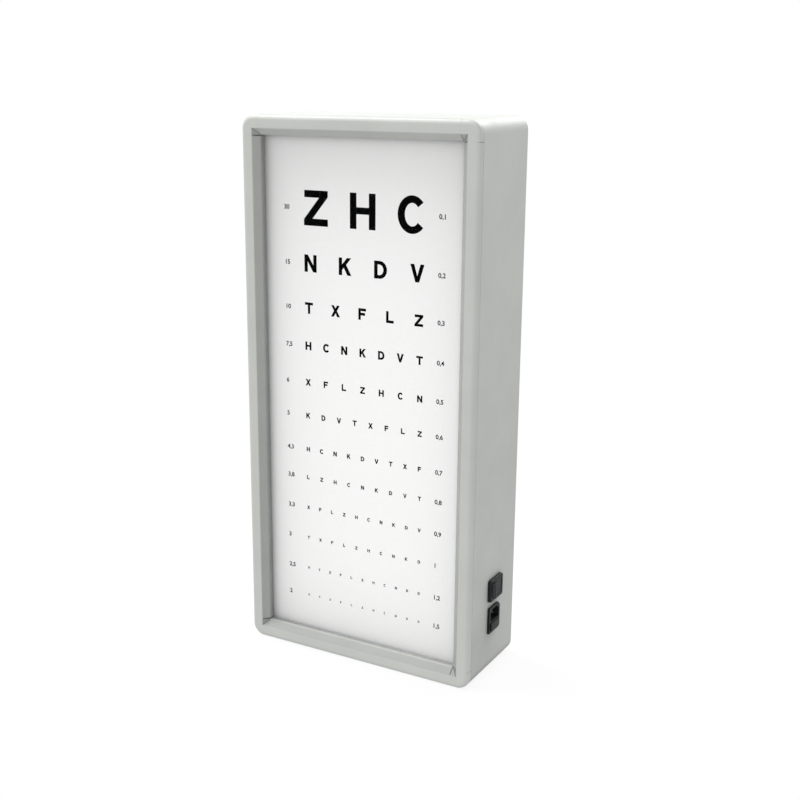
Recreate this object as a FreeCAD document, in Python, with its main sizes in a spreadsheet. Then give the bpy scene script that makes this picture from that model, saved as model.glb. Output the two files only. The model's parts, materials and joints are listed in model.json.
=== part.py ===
import FreeCAD, Part
import math
import os
import re

import Sketcher

# A light box for an eye-test chart, in millimetres. It stands on its base with +Z up, its chart faces -Y
# and its switch is on the +X side. The origin is the middle of the base.

doc = FreeCAD.newDocument("EyeChartLightBox")

sizes = {
    # the box
    "box_width": 328,
    "box_height": 700,
    "box_depth": 132,
    "wall": 2,
    "corner_radius": 17,
    "flange_width": 12,
    "panel_skin": 2,
    # clearances: between visible pieces, round screws and inserts, and in a turning fit
    "joint_gap": 0.3,
    "fit_gap": 0.1,
    "turning_gap": 0.05,
    # the snap frame, measured in from the side of the box and back from its front
    "nose_radius": 6,
    "nose_tuck_angle": 38,
    "rail_skin": 1.5,
    "face_width": 16.4,
    "bevel": 8.4,
    "lip_height": 1.9,
    "seam_depth": 9,
    "bead_radius": 1.5,
    "claw_skin": 1.1,
    "claw_start_angle": 160,
    "claw_sweep_angle": 208,
    "strip_skin": 1.1,
    "strip_root": 0.7,
    "stem_skin": 1.4,
    "stem_reach": 5,
    "base_skin": 1.5,
    "ledge_skin": 2,
    "ledge_setback": 0.9,
    "base_leg": 19.5,
    "spring_skin": 0.5,
    "spring_width": 20,
    "spring_lean": 2.5,
    "spring_foot": 1.5,
    # the sheets
    "cover_depth": 16.3,
    "cover_sheet": 0.8,
    "chart_sheet": 0.4,
    "diffuser_sheet": 3,
    "sheet_margin": 15,
    # corner pieces and brackets
    "post_inset": 8,
    "post_size": 6,
    "bracket_skin": 2,
    "bracket_inset": 5,
    "bracket_arm": 70,
    "bracket_width": 16,
    "bracket_chamfer": 7,
    "bracket_hole": 55,
    # screws
    "screw_radius": 1.5,
    "screw_head_radius": 2.8,
    "screw_head_height": 1.7,
    "screw_slot": 0.8,
    "panel_screw_length": 6,
    "panel_screw_rows": 4,
    # back panel
    "keyhole_spacing": 200,
    "keyhole_drop": 70,
    "keyhole_radius": 5,
    "keyhole_slot": 5,
    "keyhole_length": 11,
    "vent_width": 4,
    "vent_length": 30,
    "vent_pitch": 12,
    "vent_count": 14,
    "vent_inset": 48,
    # gear tray
    "tray_skin": 1.2,
    "tray_side": 24,
    "tray_end": 30,
    "tray_foot": 9,
    "tray_screw_end": 70,
    # lamps
    "lamp_spacing": 150,
    "lamp_end": 55,
    "lamp_radius": 13,
    "glass_skin": 0.8,
    "cap_skin": 0.6,
    "cap_length": 12,
    "lamp_lift": 22,
    "pin_radius": 1.2,
    "pin_spacing": 13,
    "pin_length": 7,
    "holder_width": 24,
    "holder_thickness": 14,
    "rotor_radius": 8,
    "rotor_thickness": 7,
    "lead_hole": 3.5,
    # ballast, terminals, grommet and earth
    "ballast_width": 40,
    "ballast_height": 28,
    "ballast_length": 230,
    "ballast_gap": 3.8,
    "ballast_foot": 12,
    "ballast_foot_skin": 1.5,
    "terminal_inset": 59,
    "terminal_z": 170,
    "terminal_width": 34,
    "terminal_height": 16,
    "terminal_length": 22,
    "terminal_pitch": 9,
    "terminal_hole": 2,
    "grommet_inset": 66,
    "grommet_z": 124,
    "grommet_bore": 6,
    "grommet_neck": 7.5,
    "grommet_rim": 9.5,
    "grommet_lip": 2,
    "earth_inset": 59,
    "earth_z": 90,
    "stud_radius": 2,
    "stud_length": 12,
    "nut_radius": 4,
    "nut_height": 3.2,
    # rocker switch
    "switch_depth": 71.4,
    "switch_height": 115.2,
    "switch_bezel_length": 37,
    "switch_bezel_height": 29.5,
    "switch_bezel": 4.6,
    "switch_body_length": 28.6,
    "switch_body_height": 22,
    "switch_body_depth": 24,
    "rocker_pivot": 3.5,
    "rocker_radius": 13.4,
    "rocker_valley": 3,
    "rocker_tilt_angle": 11,
    "rocker_width": 18.6,
    "rocker_belly": 4,
    "trunnion_radius": 1.5,
    "trunnion_length": 1,
    "tab_width": 6.3,
    "tab_skin": 0.8,
    "tab_length": 9,
    # mains inlet
    "inlet_depth": 69.5,
    "inlet_height": 74.4,
    "inlet_flange_length": 31,
    "inlet_flange_height": 34.6,
    "inlet_flange": 3.2,
    "inlet_chamfer": 4,
    "inlet_body_length": 27.2,
    "inlet_body_height": 31.2,
    "inlet_body_depth": 28,
    "socket_width": 24.5,
    "socket_height": 16.5,
    "socket_chamfer": 5,
    "socket_reach": 17,
    "socket_lift": 6.4,
    "blade_width": 4,
    "blade_skin": 2,
    "blade_spacing": 7,
    "blade_offset": 2,
    "blade_recess": 6,
    "drawer_drop": 9.6,
    "drawer_width": 22,
    "drawer_height": 9,
    "drawer_reach": 24,
    "drawer_face": 1.5,
    "drawer_rim": 0.8,
    "fuse_radius": 2.6,
    "fuse_length": 20,
    "fuse_spacing": 10,
    # leads
    "wire_radius": 1.2,
    "wire_grip": 6,
    "wire_guide": 12,
    "lamp_lead_radius": 2,
}

sheet = doc.addObject("Spreadsheet::Sheet", "Sizes")
for row, (alias, number) in enumerate(sizes.items(), start=1):
    sheet.set("A%d" % row, alias)
    sheet.set("B%d" % row, str(number))
    sheet.setAlias("B%d" % row, alias)
doc.recompute()

# Places that several pieces share
FRONT = "(-box_depth / 2)"
BACK = "(box_depth / 2)"
SIDE = "(box_width / 2)"
MIDDLE = "(box_height / 2)"
RAIL = "(face_width + bevel)"
LIP = "(bevel + lip_height)"
LEDGE = "(cover_depth + cover_sheet + chart_sheet + diffuser_sheet)"
WEB = "(nose_radius + stem_reach)"
PANEL = "(box_depth / 2 - panel_skin)"
TRAY_BACK = "(box_depth / 2 - panel_skin - ballast_gap - ballast_height)"
TRAY = "(%s - tray_skin)" % TRAY_BACK
LAMP_Y = "(%s - lamp_lift)" % TRAY
TERMINAL_X = "(box_width / 2 - terminal_inset)"
GROMMET_X = "(box_width / 2 - grommet_inset)"
EARTH_X = "(box_width / 2 - earth_inset)"
LAMP_LOW = "lamp_end"
LAMP_HIGH = "(box_height - lamp_end)"
SWITCH_Y = "(-box_depth / 2 + switch_depth)"
INLET_Y = "(-box_depth / 2 + inlet_depth)"
SOCKET_Z = "(inlet_height + socket_lift)"
DRAWER_Z = "(inlet_height - drawer_drop)"

X = FreeCAD.Vector(1, 0, 0)
Y = FreeCAD.Vector(0, 1, 0)
Z = FreeCAD.Vector(0, 0, 1)
names_in_use = re.compile(r"\b(" + "|".join(sizes) + r")\b")
nodes = []

# How near to a plane an edge lies when it belongs to it
NEAR = 0.01


def bound(text):
    """An expression with the sheet's name before each of its sizes."""
    return names_in_use.sub(r"Sizes.\1", str(text))


def size(alias):
    return float(sheet.get(alias))


def turned(first, second, third):
    """The rotation that takes the local axes to these three directions."""
    return FreeCAD.Rotation(first, second, third, "XYZ")


ALONG_X = turned(Y, Z, X)
ALONG_Y = turned(X, -Z, Y)
ALONG_Z = FreeCAD.Rotation()


def place(item, x, y, z, rotation=ALONG_Z):
    item.Placement = FreeCAD.Placement(FreeCAD.Vector(), rotation)
    for axis, text in zip("xyz", (x, y, z)):
        item.setExpression("Placement.Base." + axis, bound(text))
    return item


def make(kind, name, **properties):
    item = doc.addObject(kind, name)
    for name_of, text in properties.items():
        item.setExpression(name_of, bound(text))
    return item


def box(name, x, y, z, length, width, height):
    """A box from its lowest corner."""
    return place(make("Part::Box", name, Length=length, Width=width, Height=height), x, y, z)


def rod(name, x, y, z, radius, height, rotation=ALONG_Z):
    return place(make("Part::Cylinder", name, Radius=radius, Height=height), x, y, z, rotation)


def sector(name, x, y, outer, inner, start, sweep, height):
    """Part of a tube along Z, from one angle on through another."""
    solid = rod(name + "_outer", x, y, 0, outer, height)
    solid.setExpression("Angle", bound(sweep))
    solid.setExpression("Placement.Rotation.Angle", bound(start))
    return cut(name, solid, [rod(name + "_bore", x, y, 0, inner, height)])


def fuse(name, pieces):
    item = doc.addObject("Part::MultiFuse", name)
    item.Shapes = pieces
    return item


def group(name, pieces):
    """Separate solids under one name."""
    item = doc.addObject("Part::Compound", name)
    item.Links = pieces
    return item


def cut(name, base, tools):
    item = doc.addObject("Part::Cut", name)
    item.Base = base
    item.Tool = tools[0] if len(tools) == 1 else fuse(name + "_tools", tools)
    return item


def keep(item):
    """Marks an item as a piece of the object, under its label."""
    nodes.append(item)
    return item


def pad(name, points, length):
    """A bar whose section is the polygon through these points, in its own XY plane."""
    body = doc.addObject("PartDesign::Body", name)
    sketch = body.newObject("Sketcher::SketchObject", name + "_section")
    plane = next(item for item in body.Origin.OriginFeatures if item.Role == "XY_Plane")
    sketch.AttachmentSupport = [(plane, "")]
    sketch.MapMode = "FlatFace"
    count = len(points)
    turns = [2 * math.pi * index / count for index in range(count)]
    rough = [FreeCAD.Vector(math.cos(turn), math.sin(turn), 0) for turn in turns]
    for index in range(count):
        sketch.addGeometry(Part.LineSegment(rough[index], rough[(index + 1) % count]))
    for index in range(count):
        sketch.addConstraint(Sketcher.Constraint("Coincident", index, 2, (index + 1) % count, 1))
    for index, (across, up) in enumerate(points):
        for kind, text, start in (("DistanceX", across, rough[index].x), ("DistanceY", up, rough[index].y)):
            number = sketch.addConstraint(Sketcher.Constraint(kind, -1, 1, index, 1, start))
            sketch.setExpression("Constraints[%d]" % number, bound(text))
    feature = body.newObject("PartDesign::Pad", name + "_pad")
    feature.Profile = sketch
    feature.setExpression("Length", bound(length))
    return body


def round_edges(body, radius, chosen):
    """Rounds the edges of a body that the test chooses."""
    doc.recompute()
    base = body.Tip
    edges = ["Edge%d" % (index + 1) for index, edge in enumerate(base.Shape.Edges) if chosen(edge)]
    feature = body.newObject("PartDesign::Fillet", body.Name + "_round")
    feature.Base = (base, edges)
    feature.setExpression("Radius", bound(radius))
    return body


def upright(edge):
    return abs(edge.tangentAt(edge.FirstParameter).z) > 0.9


def plate(name, width, height, radius, y, thickness):
    """An upright plate with rounded corners, centred on the box."""
    half = "(%s) / 2" % width
    tall = "(%s) / 2" % height
    corners = [("-" + half, "-" + tall), (half, "-" + tall), (half, tall), ("-" + half, tall)]
    body = round_edges(pad(name, corners, thickness), radius, upright)
    return place(body, 0, y, MIDDLE, ALONG_Y)


def screw(name, x, y, z, length, slack="0"):
    """A countersunk screw that points to -Y, with its head's face at y, or its hole."""
    head = make("Part::Cone", name + "_head", Height="screw_head_height")
    head.setExpression("Radius1", bound("screw_radius + " + slack))
    head.setExpression("Radius2", bound("screw_head_radius + " + slack))
    place(head, x, "%s - screw_head_height" % y, z, ALONG_Y)
    reach = "%s + %s" % (length, slack)
    radius = "screw_radius + " + slack
    shank = rod(name + "_shank", x, "%s - screw_head_height - (%s)" % (y, reach), z, radius, reach, ALONG_Y)
    return fuse(name, [head, shank])


def slotted(name, x, y, z, length):
    """A countersunk screw with its slot."""
    slot = box(name + "_slot", "%s - screw_head_radius" % x, "%s - screw_slot" % y, "%s - screw_slot / 2" % z,
               "2 * screw_head_radius", "screw_slot", "screw_slot")
    return cut(name, screw(name + "_blank", x, y, z, length), [slot])


# The snap frame: each side is drawn with x in from the side of the box and y back from its front

END = "(%s + joint_gap)" % RAIL
SIDES = {
    "left": (turned(X, Y, Z), "-" + SIDE, END, "box_height"),
    "right": (turned(-X, Y, -Z), SIDE, "box_height - " + END, "box_height"),
    "top": (turned(-Z, Y, X), "-%s + %s" % (SIDE, END), "box_height", "box_width"),
    "bottom": (turned(Z, Y, -X), "%s - %s" % (SIDE, END), "0", "box_width"),
}


def on_side(item, side):
    rotation, x, z, span = SIDES[side]
    return place(item, x, FRONT, z, rotation)


def side_length(side):
    return "%s - 2 * %s" % (SIDES[side][3], END)


def snap_rail(side):
    """A rail: its face with the bevel and lip, the round nose, and the claw that turns on the bead."""
    name = "snap_rail_" + side
    length = side_length(side)
    inset = "rail_skin * (sqrt(2) - 1)"
    face = pad(name + "_face", [
        ("nose_radius", "0"),
        ("face_width", "0"),
        (RAIL, "bevel"),
        (RAIL, LIP),
        (RAIL + " - rail_skin", LIP),
        (RAIL + " - rail_skin", "bevel + " + inset),
        ("face_width - " + inset, "rail_skin"),
        ("nose_radius", "rail_skin"),
    ], length)
    nose = sector(name + "_nose", "nose_radius", "nose_radius", "nose_radius", "nose_radius - rail_skin",
                  "180 - nose_tuck_angle", "90 + nose_tuck_angle", length)
    bore = "bead_radius + turning_gap"
    claw = sector(name + "_claw", "nose_radius", "nose_radius", bore + " + claw_skin", bore,
                  "claw_start_angle", "claw_sweep_angle", length)
    web = box(name + "_web", "nose_radius - rail_skin / 2", "rail_skin / 2", 0,
              "rail_skin", "nose_radius - rail_skin / 2 - (%s) - claw_skin / 2" % bore, length)
    return on_side(fuse(name, [face, nose, claw, web]), side)


def pressing_strip(side):
    """The soft strip under the lip of a rail, which holds the sheets down."""
    inner = RAIL + " - rail_skin"
    foot = "cover_depth - joint_gap"
    face = inner + " + strip_skin"
    root = inner + " - rail_skin"
    strip = pad("pressing_strip_" + side, [
        (face, LIP),
        (face, foot),
        (root, foot),
        (root, LIP + " - strip_root"),
        (inner, LIP + " - strip_root"),
        (inner, LIP),
    ], side_length(side))
    return on_side(strip, side)


def base_rail(side):
    """The fixed rail: the bead and its stem, the web, the ledge for the sheets and the leg on the wall."""
    name = "base_rail_" + side
    length = side_length(side)
    slant = "stem_skin / sqrt(8)"
    ledge_back = LEDGE + " + ledge_skin"
    section = pad(name + "_section", [
        ("nose_radius - " + slant, "nose_radius + " + slant),
        (WEB, "%s + 2 * %s" % (WEB, slant)),
        (WEB, LEDGE),
        ("wall", LEDGE),
        ("wall", LEDGE + " + base_leg"),
        ("wall + base_skin", LEDGE + " + base_leg"),
        ("wall + base_skin", ledge_back),
        (RAIL + " - ledge_setback", ledge_back),
        (RAIL + " - ledge_setback", LEDGE),
        (WEB + " + base_skin", LEDGE),
        (WEB + " + base_skin", "%s + base_skin - 2 * %s" % (WEB, slant)),
        ("nose_radius + " + slant, "nose_radius - " + slant),
    ], length)
    bead = rod(name + "_bead", "nose_radius", "nose_radius", 0, "bead_radius", length)
    whole = on_side(fuse(name + "_whole", [section, bead]), side)
    holes = [tool for corner in CORNERS for tool in bracket_holes(name + "_" + corner, corner)]
    return cut(name, whole, holes)


def spring(side, share):
    """A leaf spring on the web of a base rail, bent towards the face of the snap rail."""
    name = "spring_%s_%d" % (side, share)
    root = WEB + " + base_skin"
    knee = "%s + base_skin - stem_skin / sqrt(2)" % WEB
    tip = "rail_skin + joint_gap"
    leaf = pad(name, [
        (root, LEDGE + " - spring_foot"),
        (root + " + spring_skin", LEDGE + " - spring_foot"),
        (root + " + spring_skin", knee),
        (root + " + spring_skin - spring_lean", tip),
        (root + " - spring_lean", tip),
        (root, knee),
    ], "spring_width")
    rotation, x, z, span = SIDES[side]
    along = rotation.multVec(Z)
    step = "((%s) * %d / 4 - spring_width / 2)" % (side_length(side), share)
    across = "%s + %d * %s" % (x, along.x, step)
    up = "%s + %d * %s" % (z, along.z, step)
    return place(leaf, across, FRONT, up, rotation)


# Corners: each is drawn with x and y in from its two sides, and z back from the front

CORNERS = {
    "top_left": (turned(X, -Z, Y), "-" + SIDE, "box_height"),
    "top_right": (turned(-Z, -X, Y), SIDE, "box_height"),
    "bottom_left": (turned(Z, X, Y), "-" + SIDE, "0"),
    "bottom_right": (turned(-X, Z, Y), SIDE, "0"),
}
POST_CENTRE = "(post_inset + post_size / 2)"
ARM_CENTRE = "(bracket_inset + bracket_width / 2)"
BRACKET_SCREWS = [(POST_CENTRE, POST_CENTRE), ("bracket_hole", ARM_CENTRE), (ARM_CENTRE, "bracket_hole")]


def in_corner(item, corner):
    rotation, x, z = CORNERS[corner]
    return place(item, x, FRONT, z, rotation)


def bracket_holes(name, corner, slack="fit_gap"):
    """The three screws of a corner, or their holes: heads behind the bracket, points at the ledge's front."""
    pieces = []
    length = "bracket_skin + ledge_skin"
    for number, (across, up) in enumerate(BRACKET_SCREWS, start=1):
        label = "%s_screw_%d" % (name, number)
        behind = "%s + ledge_skin + bracket_skin" % LEDGE
        shank = rod(label + "_shank", across, up, LEDGE, "screw_radius + " + slack, length)
        head = rod(label + "_head", across, up, behind, "screw_head_radius", "screw_head_height")
        pieces.append(in_corner(fuse(label, [shank, head]), corner))
    return pieces


def corner_piece(corner):
    """A moulded corner: rounded outside, bevelled towards the window, with a post down to its bracket."""
    name = "corner_" + corner
    square = [("0", "0"), (RAIL, "0"), (RAIL, RAIL), ("0", RAIL)]
    cap = pad(name + "_cap", square, "seam_depth - joint_gap")

    def outer_edge(edge):
        return upright(edge) and max(edge.BoundBox.XMax, edge.BoundBox.YMax) < NEAR

    def nose_edge(edge):
        room = edge.BoundBox
        on_side = min(room.XMax, room.YMax) < NEAR
        on_round = max(room.XMax, room.YMax) < size("corner_radius") + NEAR
        return room.ZMax < NEAR and (on_side or on_round)

    round_edges(cap, "corner_radius", outer_edge)
    round_edges(cap, "nose_radius", nose_edge)
    hollow = make("Part::Wedge", name + "_bevel", Xmin="0", Zmin="0", Ymin="0", Xmax="2 * bevel",
                  Zmax="2 * bevel", Ymax="bevel", X2min="bevel", X2max="bevel", Z2min="bevel", Z2max="bevel")
    place(hollow, "face_width", "face_width + 2 * bevel", 0, turned(X, Z, -Y))
    shaped = cut(name + "_shaped", cap, [hollow])
    start = "(seam_depth - 2 * joint_gap)"
    post = box(name + "_post", "post_inset", "post_inset", start,
               "post_size", "post_size", "%s + ledge_skin - %s" % (LEDGE, start))
    whole = in_corner(fuse(name + "_whole", [shaped, post]), corner)
    return cut(name, whole, bracket_holes(name, corner))


def corner_bracket(corner):
    """An L-shaped plate behind the ledges of two base rails."""
    name = "bracket_" + corner
    wide = "bracket_inset + bracket_width"
    shy = "bracket_inset + bracket_chamfer"
    ell = pad(name + "_plate", [
        ("bracket_inset", shy),
        (shy, "bracket_inset"),
        ("bracket_arm", "bracket_inset"),
        ("bracket_arm", wide),
        (wide, wide),
        (wide, "bracket_arm"),
        ("bracket_inset", "bracket_arm"),
    ], "bracket_skin")
    rotation, x, z = CORNERS[corner]
    place(ell, x, "%s + %s + ledge_skin" % (FRONT, LEDGE), z, rotation)
    return cut(name, ell, bracket_holes(name, corner))


for side in SIDES:
    keep(snap_rail(side))
    keep(pressing_strip(side))
    keep(base_rail(side))
for corner in CORNERS:
    keep(corner_piece(corner))
keep(group("corner_brackets", [corner_bracket(corner) for corner in CORNERS]))
corner_screws = [piece for corner in CORNERS for piece in bracket_holes("fastener_" + corner, corner, "0")]
keep(group("corner_screws", corner_screws))
keep(group("snap_springs", [spring(side, share) for side in SIDES for share in (1, 3)]))


# The housing: a band with rounded corners, a return flange at the back, and room for the turning noses

def panel_screw_places():
    """Where the screws of the back panel go: rows down both sides, and one in the middle of both ends."""
    inset = "(wall + flange_width / 2)"
    rows = int(size("panel_screw_rows"))
    places = [("0", inset), ("0", "box_height - " + inset)]
    for row in range(rows):
        height = "%s + (box_height - 2 * %s) * %d / %d" % (inset, inset, row, rows - 1)
        for sign in ("-", ""):
            places.append(("%s(%s - %s)" % (sign, SIDE, inset), height))
    return places


def housing():
    name = "housing"
    length = "box_depth - seam_depth"
    seam = FRONT + " + seam_depth"
    outer = plate(name + "_outer", "box_width", "box_height", "corner_radius", seam, length)
    inner = plate(name + "_inner", "box_width - 2 * wall", "box_height - 2 * wall", "corner_radius - wall",
                  seam, length)
    band = cut(name + "_band", outer, [inner])
    rim = plate(name + "_rim", "box_width", "box_height", "corner_radius", PANEL + " - wall", "wall")
    reach = "2 * (wall + flange_width)"
    mouth = box(name + "_mouth", "-%s + wall + flange_width" % SIDE, PANEL + " - wall", "wall + flange_width",
                "box_width - " + reach, "wall", "box_height - " + reach)
    tools = [mouth]
    for side in SIDES:
        relief = rod("%s_relief_%s" % (name, side), "nose_radius", "nose_radius", "-joint_gap",
                     "nose_radius + joint_gap", "%s + 2 * joint_gap" % side_length(side))
        tools.append(on_side(group("%s_room_%s" % (name, side), [relief]), side))
    for fitting, y in (("switch", SWITCH_Y), ("inlet", INLET_Y)):
        length = "(%s_body_length + 2 * fit_gap)" % fitting
        height = "(%s_body_height + 2 * fit_gap)" % fitting
        tools.append(box("%s_%s_hole" % (name, fitting), SIDE + " - wall", "%s - %s / 2" % (y, length),
                         "%s_height - %s / 2" % (fitting, height), "wall", length, height))
    for number, (x, z) in enumerate(panel_screw_places(), start=1):
        tools.append(screw("%s_screw_%d" % (name, number), x, BACK, z, "panel_screw_length", "fit_gap"))
    return cut(name, fuse(name + "_shell", [band, rim]), tools)


def tray_screw_places():
    """Where the feet of the tray are screwed to the back panel."""
    x = "(%s - tray_side + tray_foot / 2)" % SIDE
    places = []
    for z in ("tray_screw_end", MIDDLE, "box_height - tray_screw_end"):
        for sign in ("-", ""):
            places.append((sign + x, z))
    return places


def back_panel():
    """The back: keyholes to hang the box by, air slots at both ends, and countersunk screw holes."""
    name = "back_panel"
    margin = "2 * (wall + joint_gap)"
    sheet_metal = plate(name + "_sheet", "box_width - " + margin, "box_height - " + margin,
                        "corner_radius - wall - joint_gap", PANEL, "panel_skin")
    tools = []
    key_z = "(box_height - keyhole_drop)"
    for sign in ("-", ""):
        x = sign + "keyhole_spacing / 2"
        label = "%s_key_%s" % (name, "left" if sign else "right")
        tools.append(rod(label + "_entry", x, PANEL, key_z, "keyhole_radius", "panel_skin", ALONG_Y))
        tools.append(box(label + "_slot", x + " - keyhole_slot / 2", PANEL, key_z,
                         "keyhole_slot", "panel_skin", "keyhole_length"))
        tools.append(rod(label + "_end", x, PANEL, key_z + " + keyhole_length",
                         "keyhole_slot / 2", "panel_skin", ALONG_Y))
    count = int(size("vent_count"))
    for index in range(count):
        x = "vent_pitch * %s - vent_width / 2" % (index - (count - 1) / 2)
        for end, z in (("low", "vent_inset"), ("high", "box_height - vent_inset - vent_length")):
            tools.append(box("%s_vent_%s_%d" % (name, end, index), x, PANEL, z, "vent_width", "panel_skin",
                             "vent_length"))
    for number, (x, z) in enumerate(panel_screw_places() + tray_screw_places(), start=1):
        tools.append(screw("%s_screw_%d" % (name, number), x, BACK, z, "panel_screw_length", "fit_gap"))
    return cut(name, sheet_metal, tools)


keep(housing())
keep(back_panel())
keep(group("back_panel_screws", [slotted("panel_screw_%d" % number, x, BACK, z, "panel_screw_length")
                                 for number, (x, z) in enumerate(panel_screw_places(), start=1)]))
keep(group("tray_screws", [slotted("tray_screw_%d" % number, x, BACK, z, "panel_screw_length")
                           for number, (x, z) in enumerate(tray_screw_places(), start=1)]))


# The sheets, which lie on the ledges

def sheet_piece(name, depth, thickness):
    margin = "sheet_margin"
    return box(name, "-%s + %s" % (SIDE, margin), "%s + %s" % (FRONT, depth), margin,
               "box_width - 2 * " + margin, thickness, "box_height - 2 * " + margin)


keep(sheet_piece("clear_cover", "cover_depth", "cover_sheet"))
keep(sheet_piece("chart_sheet", "cover_depth + cover_sheet", "chart_sheet"))
keep(sheet_piece("diffuser", "cover_depth + cover_sheet + chart_sheet", "diffuser_sheet"))


# The gear tray and what it carries

LAMPS = {"left": "-lamp_spacing / 2", "right": "lamp_spacing / 2"}
HOLDER_STAND = "(joint_gap + holder_thickness)"
ENDS = {
    "low": ("%s - %s" % (LAMP_LOW, HOLDER_STAND), "%s - joint_gap - rotor_thickness" % LAMP_LOW),
    "high": ("%s + joint_gap" % LAMP_HIGH, "%s + joint_gap" % LAMP_HIGH),
}


def gear_tray():
    """A white sheet bent back at both sides, with feet that are screwed to the back panel."""
    name = "gear_tray"
    half = "(%s - tray_side)" % SIDE
    section = pad(name + "_section", [
        ("-" + half, "0"),
        (half, "0"),
        (half, "%s - %s - tray_skin" % (PANEL, TRAY)),
        (half + " + tray_foot", "%s - %s - tray_skin" % (PANEL, TRAY)),
        (half + " + tray_foot", "%s - %s" % (PANEL, TRAY)),
        (half + " - tray_skin", "%s - %s" % (PANEL, TRAY)),
        (half + " - tray_skin", "tray_skin"),
        ("-(%s - tray_skin)" % half, "tray_skin"),
        ("-(%s - tray_skin)" % half, "%s - %s" % (PANEL, TRAY)),
        ("-(%s + tray_foot)" % half, "%s - %s" % (PANEL, TRAY)),
        ("-(%s + tray_foot)" % half, "%s - %s - tray_skin" % (PANEL, TRAY)),
        ("-" + half, "%s - %s - tray_skin" % (PANEL, TRAY)),
    ], "box_height - 2 * tray_end")
    place(section, 0, TRAY, "tray_end")
    holes = [
        ("grommet", GROMMET_X, "grommet_z", "grommet_neck + fit_gap"),
        ("earth", EARTH_X, "earth_z", "stud_radius + fit_gap"),
    ]
    for lamp, x in LAMPS.items():
        for end, (low, rotor) in ENDS.items():
            holes.append(("lead_%s_%s" % (lamp, end), x, low + " + holder_thickness / 2", "lead_hole"))
    for number, z in enumerate(ballast_screw_heights(), start=1):
        holes.append(("ballast_%d" % number, "0", z, "screw_radius + fit_gap"))
    tools = []
    for label, x, z, radius in holes:
        tools.append(rod("%s_%s_hole" % (name, label), x, TRAY, z, radius, "tray_skin", ALONG_Y))
    for number, (x, z) in enumerate(tray_screw_places(), start=1):
        tools.append(screw("%s_screw_%d" % (name, number), x, BACK, z, "panel_screw_length", "fit_gap"))
    return cut(name, section, tools)


def ballast_screw_heights():
    """The screws stand in the feet at both ends of the ballast."""
    reach = "(ballast_length / 2 + ballast_foot / 2)"
    return ["%s - %s" % (MIDDLE, reach), "%s + %s" % (MIDDLE, reach)]


def lampholder(lamp, x, end):
    """A holder on the tray: a block with a round top, a pocket for the rotor and its entry slot."""
    name = "lampholder_%s_%s" % (lamp, end)
    low, rotor = ENDS[end]
    block = box(name + "_block", x + " - holder_width / 2", LAMP_Y, low, "holder_width", "lamp_lift",
                "holder_thickness")
    top = rod(name + "_top", x, LAMP_Y, low, "holder_width / 2", "holder_thickness")
    pocket = rod(name + "_pocket", x, LAMP_Y, rotor, "rotor_radius + turning_gap", "rotor_thickness")
    entry = box(name + "_entry", x + " - pin_radius - joint_gap", LAMP_Y + " - holder_width / 2", rotor,
                "2 * (pin_radius + joint_gap)", "holder_width / 2", "rotor_thickness")
    return cut(name, fuse(name + "_whole", [block, top]), [pocket, entry])


def lamp_pin_set(name, x, slack):
    """Two pins at both ends of a lamp, or their holes."""
    pins = []
    for end, z in (("low", LAMP_LOW + " - pin_length"), ("high", LAMP_HIGH)):
        for sign in ("-", "+"):
            label = "%s_pin_%s_%s" % (name, end, "left" if sign == "-" else "right")
            pins.append(rod(label, "%s %s pin_spacing / 2" % (x, sign), LAMP_Y, z, "pin_radius + " + slack,
                            "pin_length"))
    return pins


def lamp_pieces(lamp, x):
    """A tube lamp: glass, end caps, pins, and the rotors of its holders, which turn with the pins."""
    name = "lamp_" + lamp
    bore = "lamp_radius - cap_skin"
    start = LAMP_LOW + " + cap_skin"
    inside = "box_height - 2 * lamp_end - 2 * cap_skin"
    glass_radius = bore + " - turning_gap"
    outer = rod(name + "_glass_outer", x, LAMP_Y, start, glass_radius, inside)
    hollow = rod(name + "_glass_bore", x, LAMP_Y, start, glass_radius + " - glass_skin", inside)
    glass = cut(name + "_glass", outer, [hollow])
    caps = []
    for end, low, bottom in (("low", LAMP_LOW, start),
                             ("high", LAMP_HIGH + " - cap_length", LAMP_HIGH + " - cap_length")):
        label = "%s_cap_%s" % (name, end)
        caps.append(cut(label, rod(label + "_outer", x, LAMP_Y, low, "lamp_radius", "cap_length"),
                        [rod(label + "_bore", x, LAMP_Y, bottom, bore, "cap_length - cap_skin")]))
    rotors = []
    for end, (low, rotor) in ENDS.items():
        label = "%s_rotor_%s" % (name, end)
        disc = rod(label + "_disc", x, LAMP_Y, rotor, "rotor_radius", "rotor_thickness")
        rotors.append(cut(label, disc, lamp_pin_set(label + "_hole", x, "turning_gap")))
    return [glass, group(name + "_caps", caps), group(name + "_pins", lamp_pin_set(name, x, "0")),
            group(name + "_rotors", rotors)]


def ballast():
    """The ballast's case, with a thin foot at each end."""
    name = "ballast"
    z = "(%s - ballast_length / 2)" % MIDDLE
    case = box(name + "_case", "-ballast_width / 2", TRAY_BACK, z, "ballast_width", "ballast_height",
               "ballast_length")
    foot = box(name + "_foot", "-ballast_width / 2", TRAY_BACK, z + " - ballast_foot", "ballast_width",
               "ballast_foot_skin", "ballast_length + 2 * ballast_foot")
    holes = []
    for number, height in enumerate(ballast_screw_heights(), start=1):
        holes.append(rod("%s_hole_%d" % (name, number), 0, TRAY_BACK, height, "screw_radius + fit_gap",
                         "ballast_foot_skin", ALONG_Y))
    return cut(name, fuse(name + "_whole", [case, foot]), holes)


def ballast_screw(number, z):
    """A pan-head screw through the tray, with its head on the ballast's foot."""
    name = "ballast_screw_%d" % number
    length = "tray_skin + ballast_foot_skin"
    shank = rod(name + "_shank", 0, TRAY, z, "screw_radius", length, ALONG_Y)
    head = rod(name + "_head", 0, TRAY + " + " + length, z, "screw_head_radius", "screw_head_height", ALONG_Y)
    return fuse(name, [shank, head])


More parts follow.
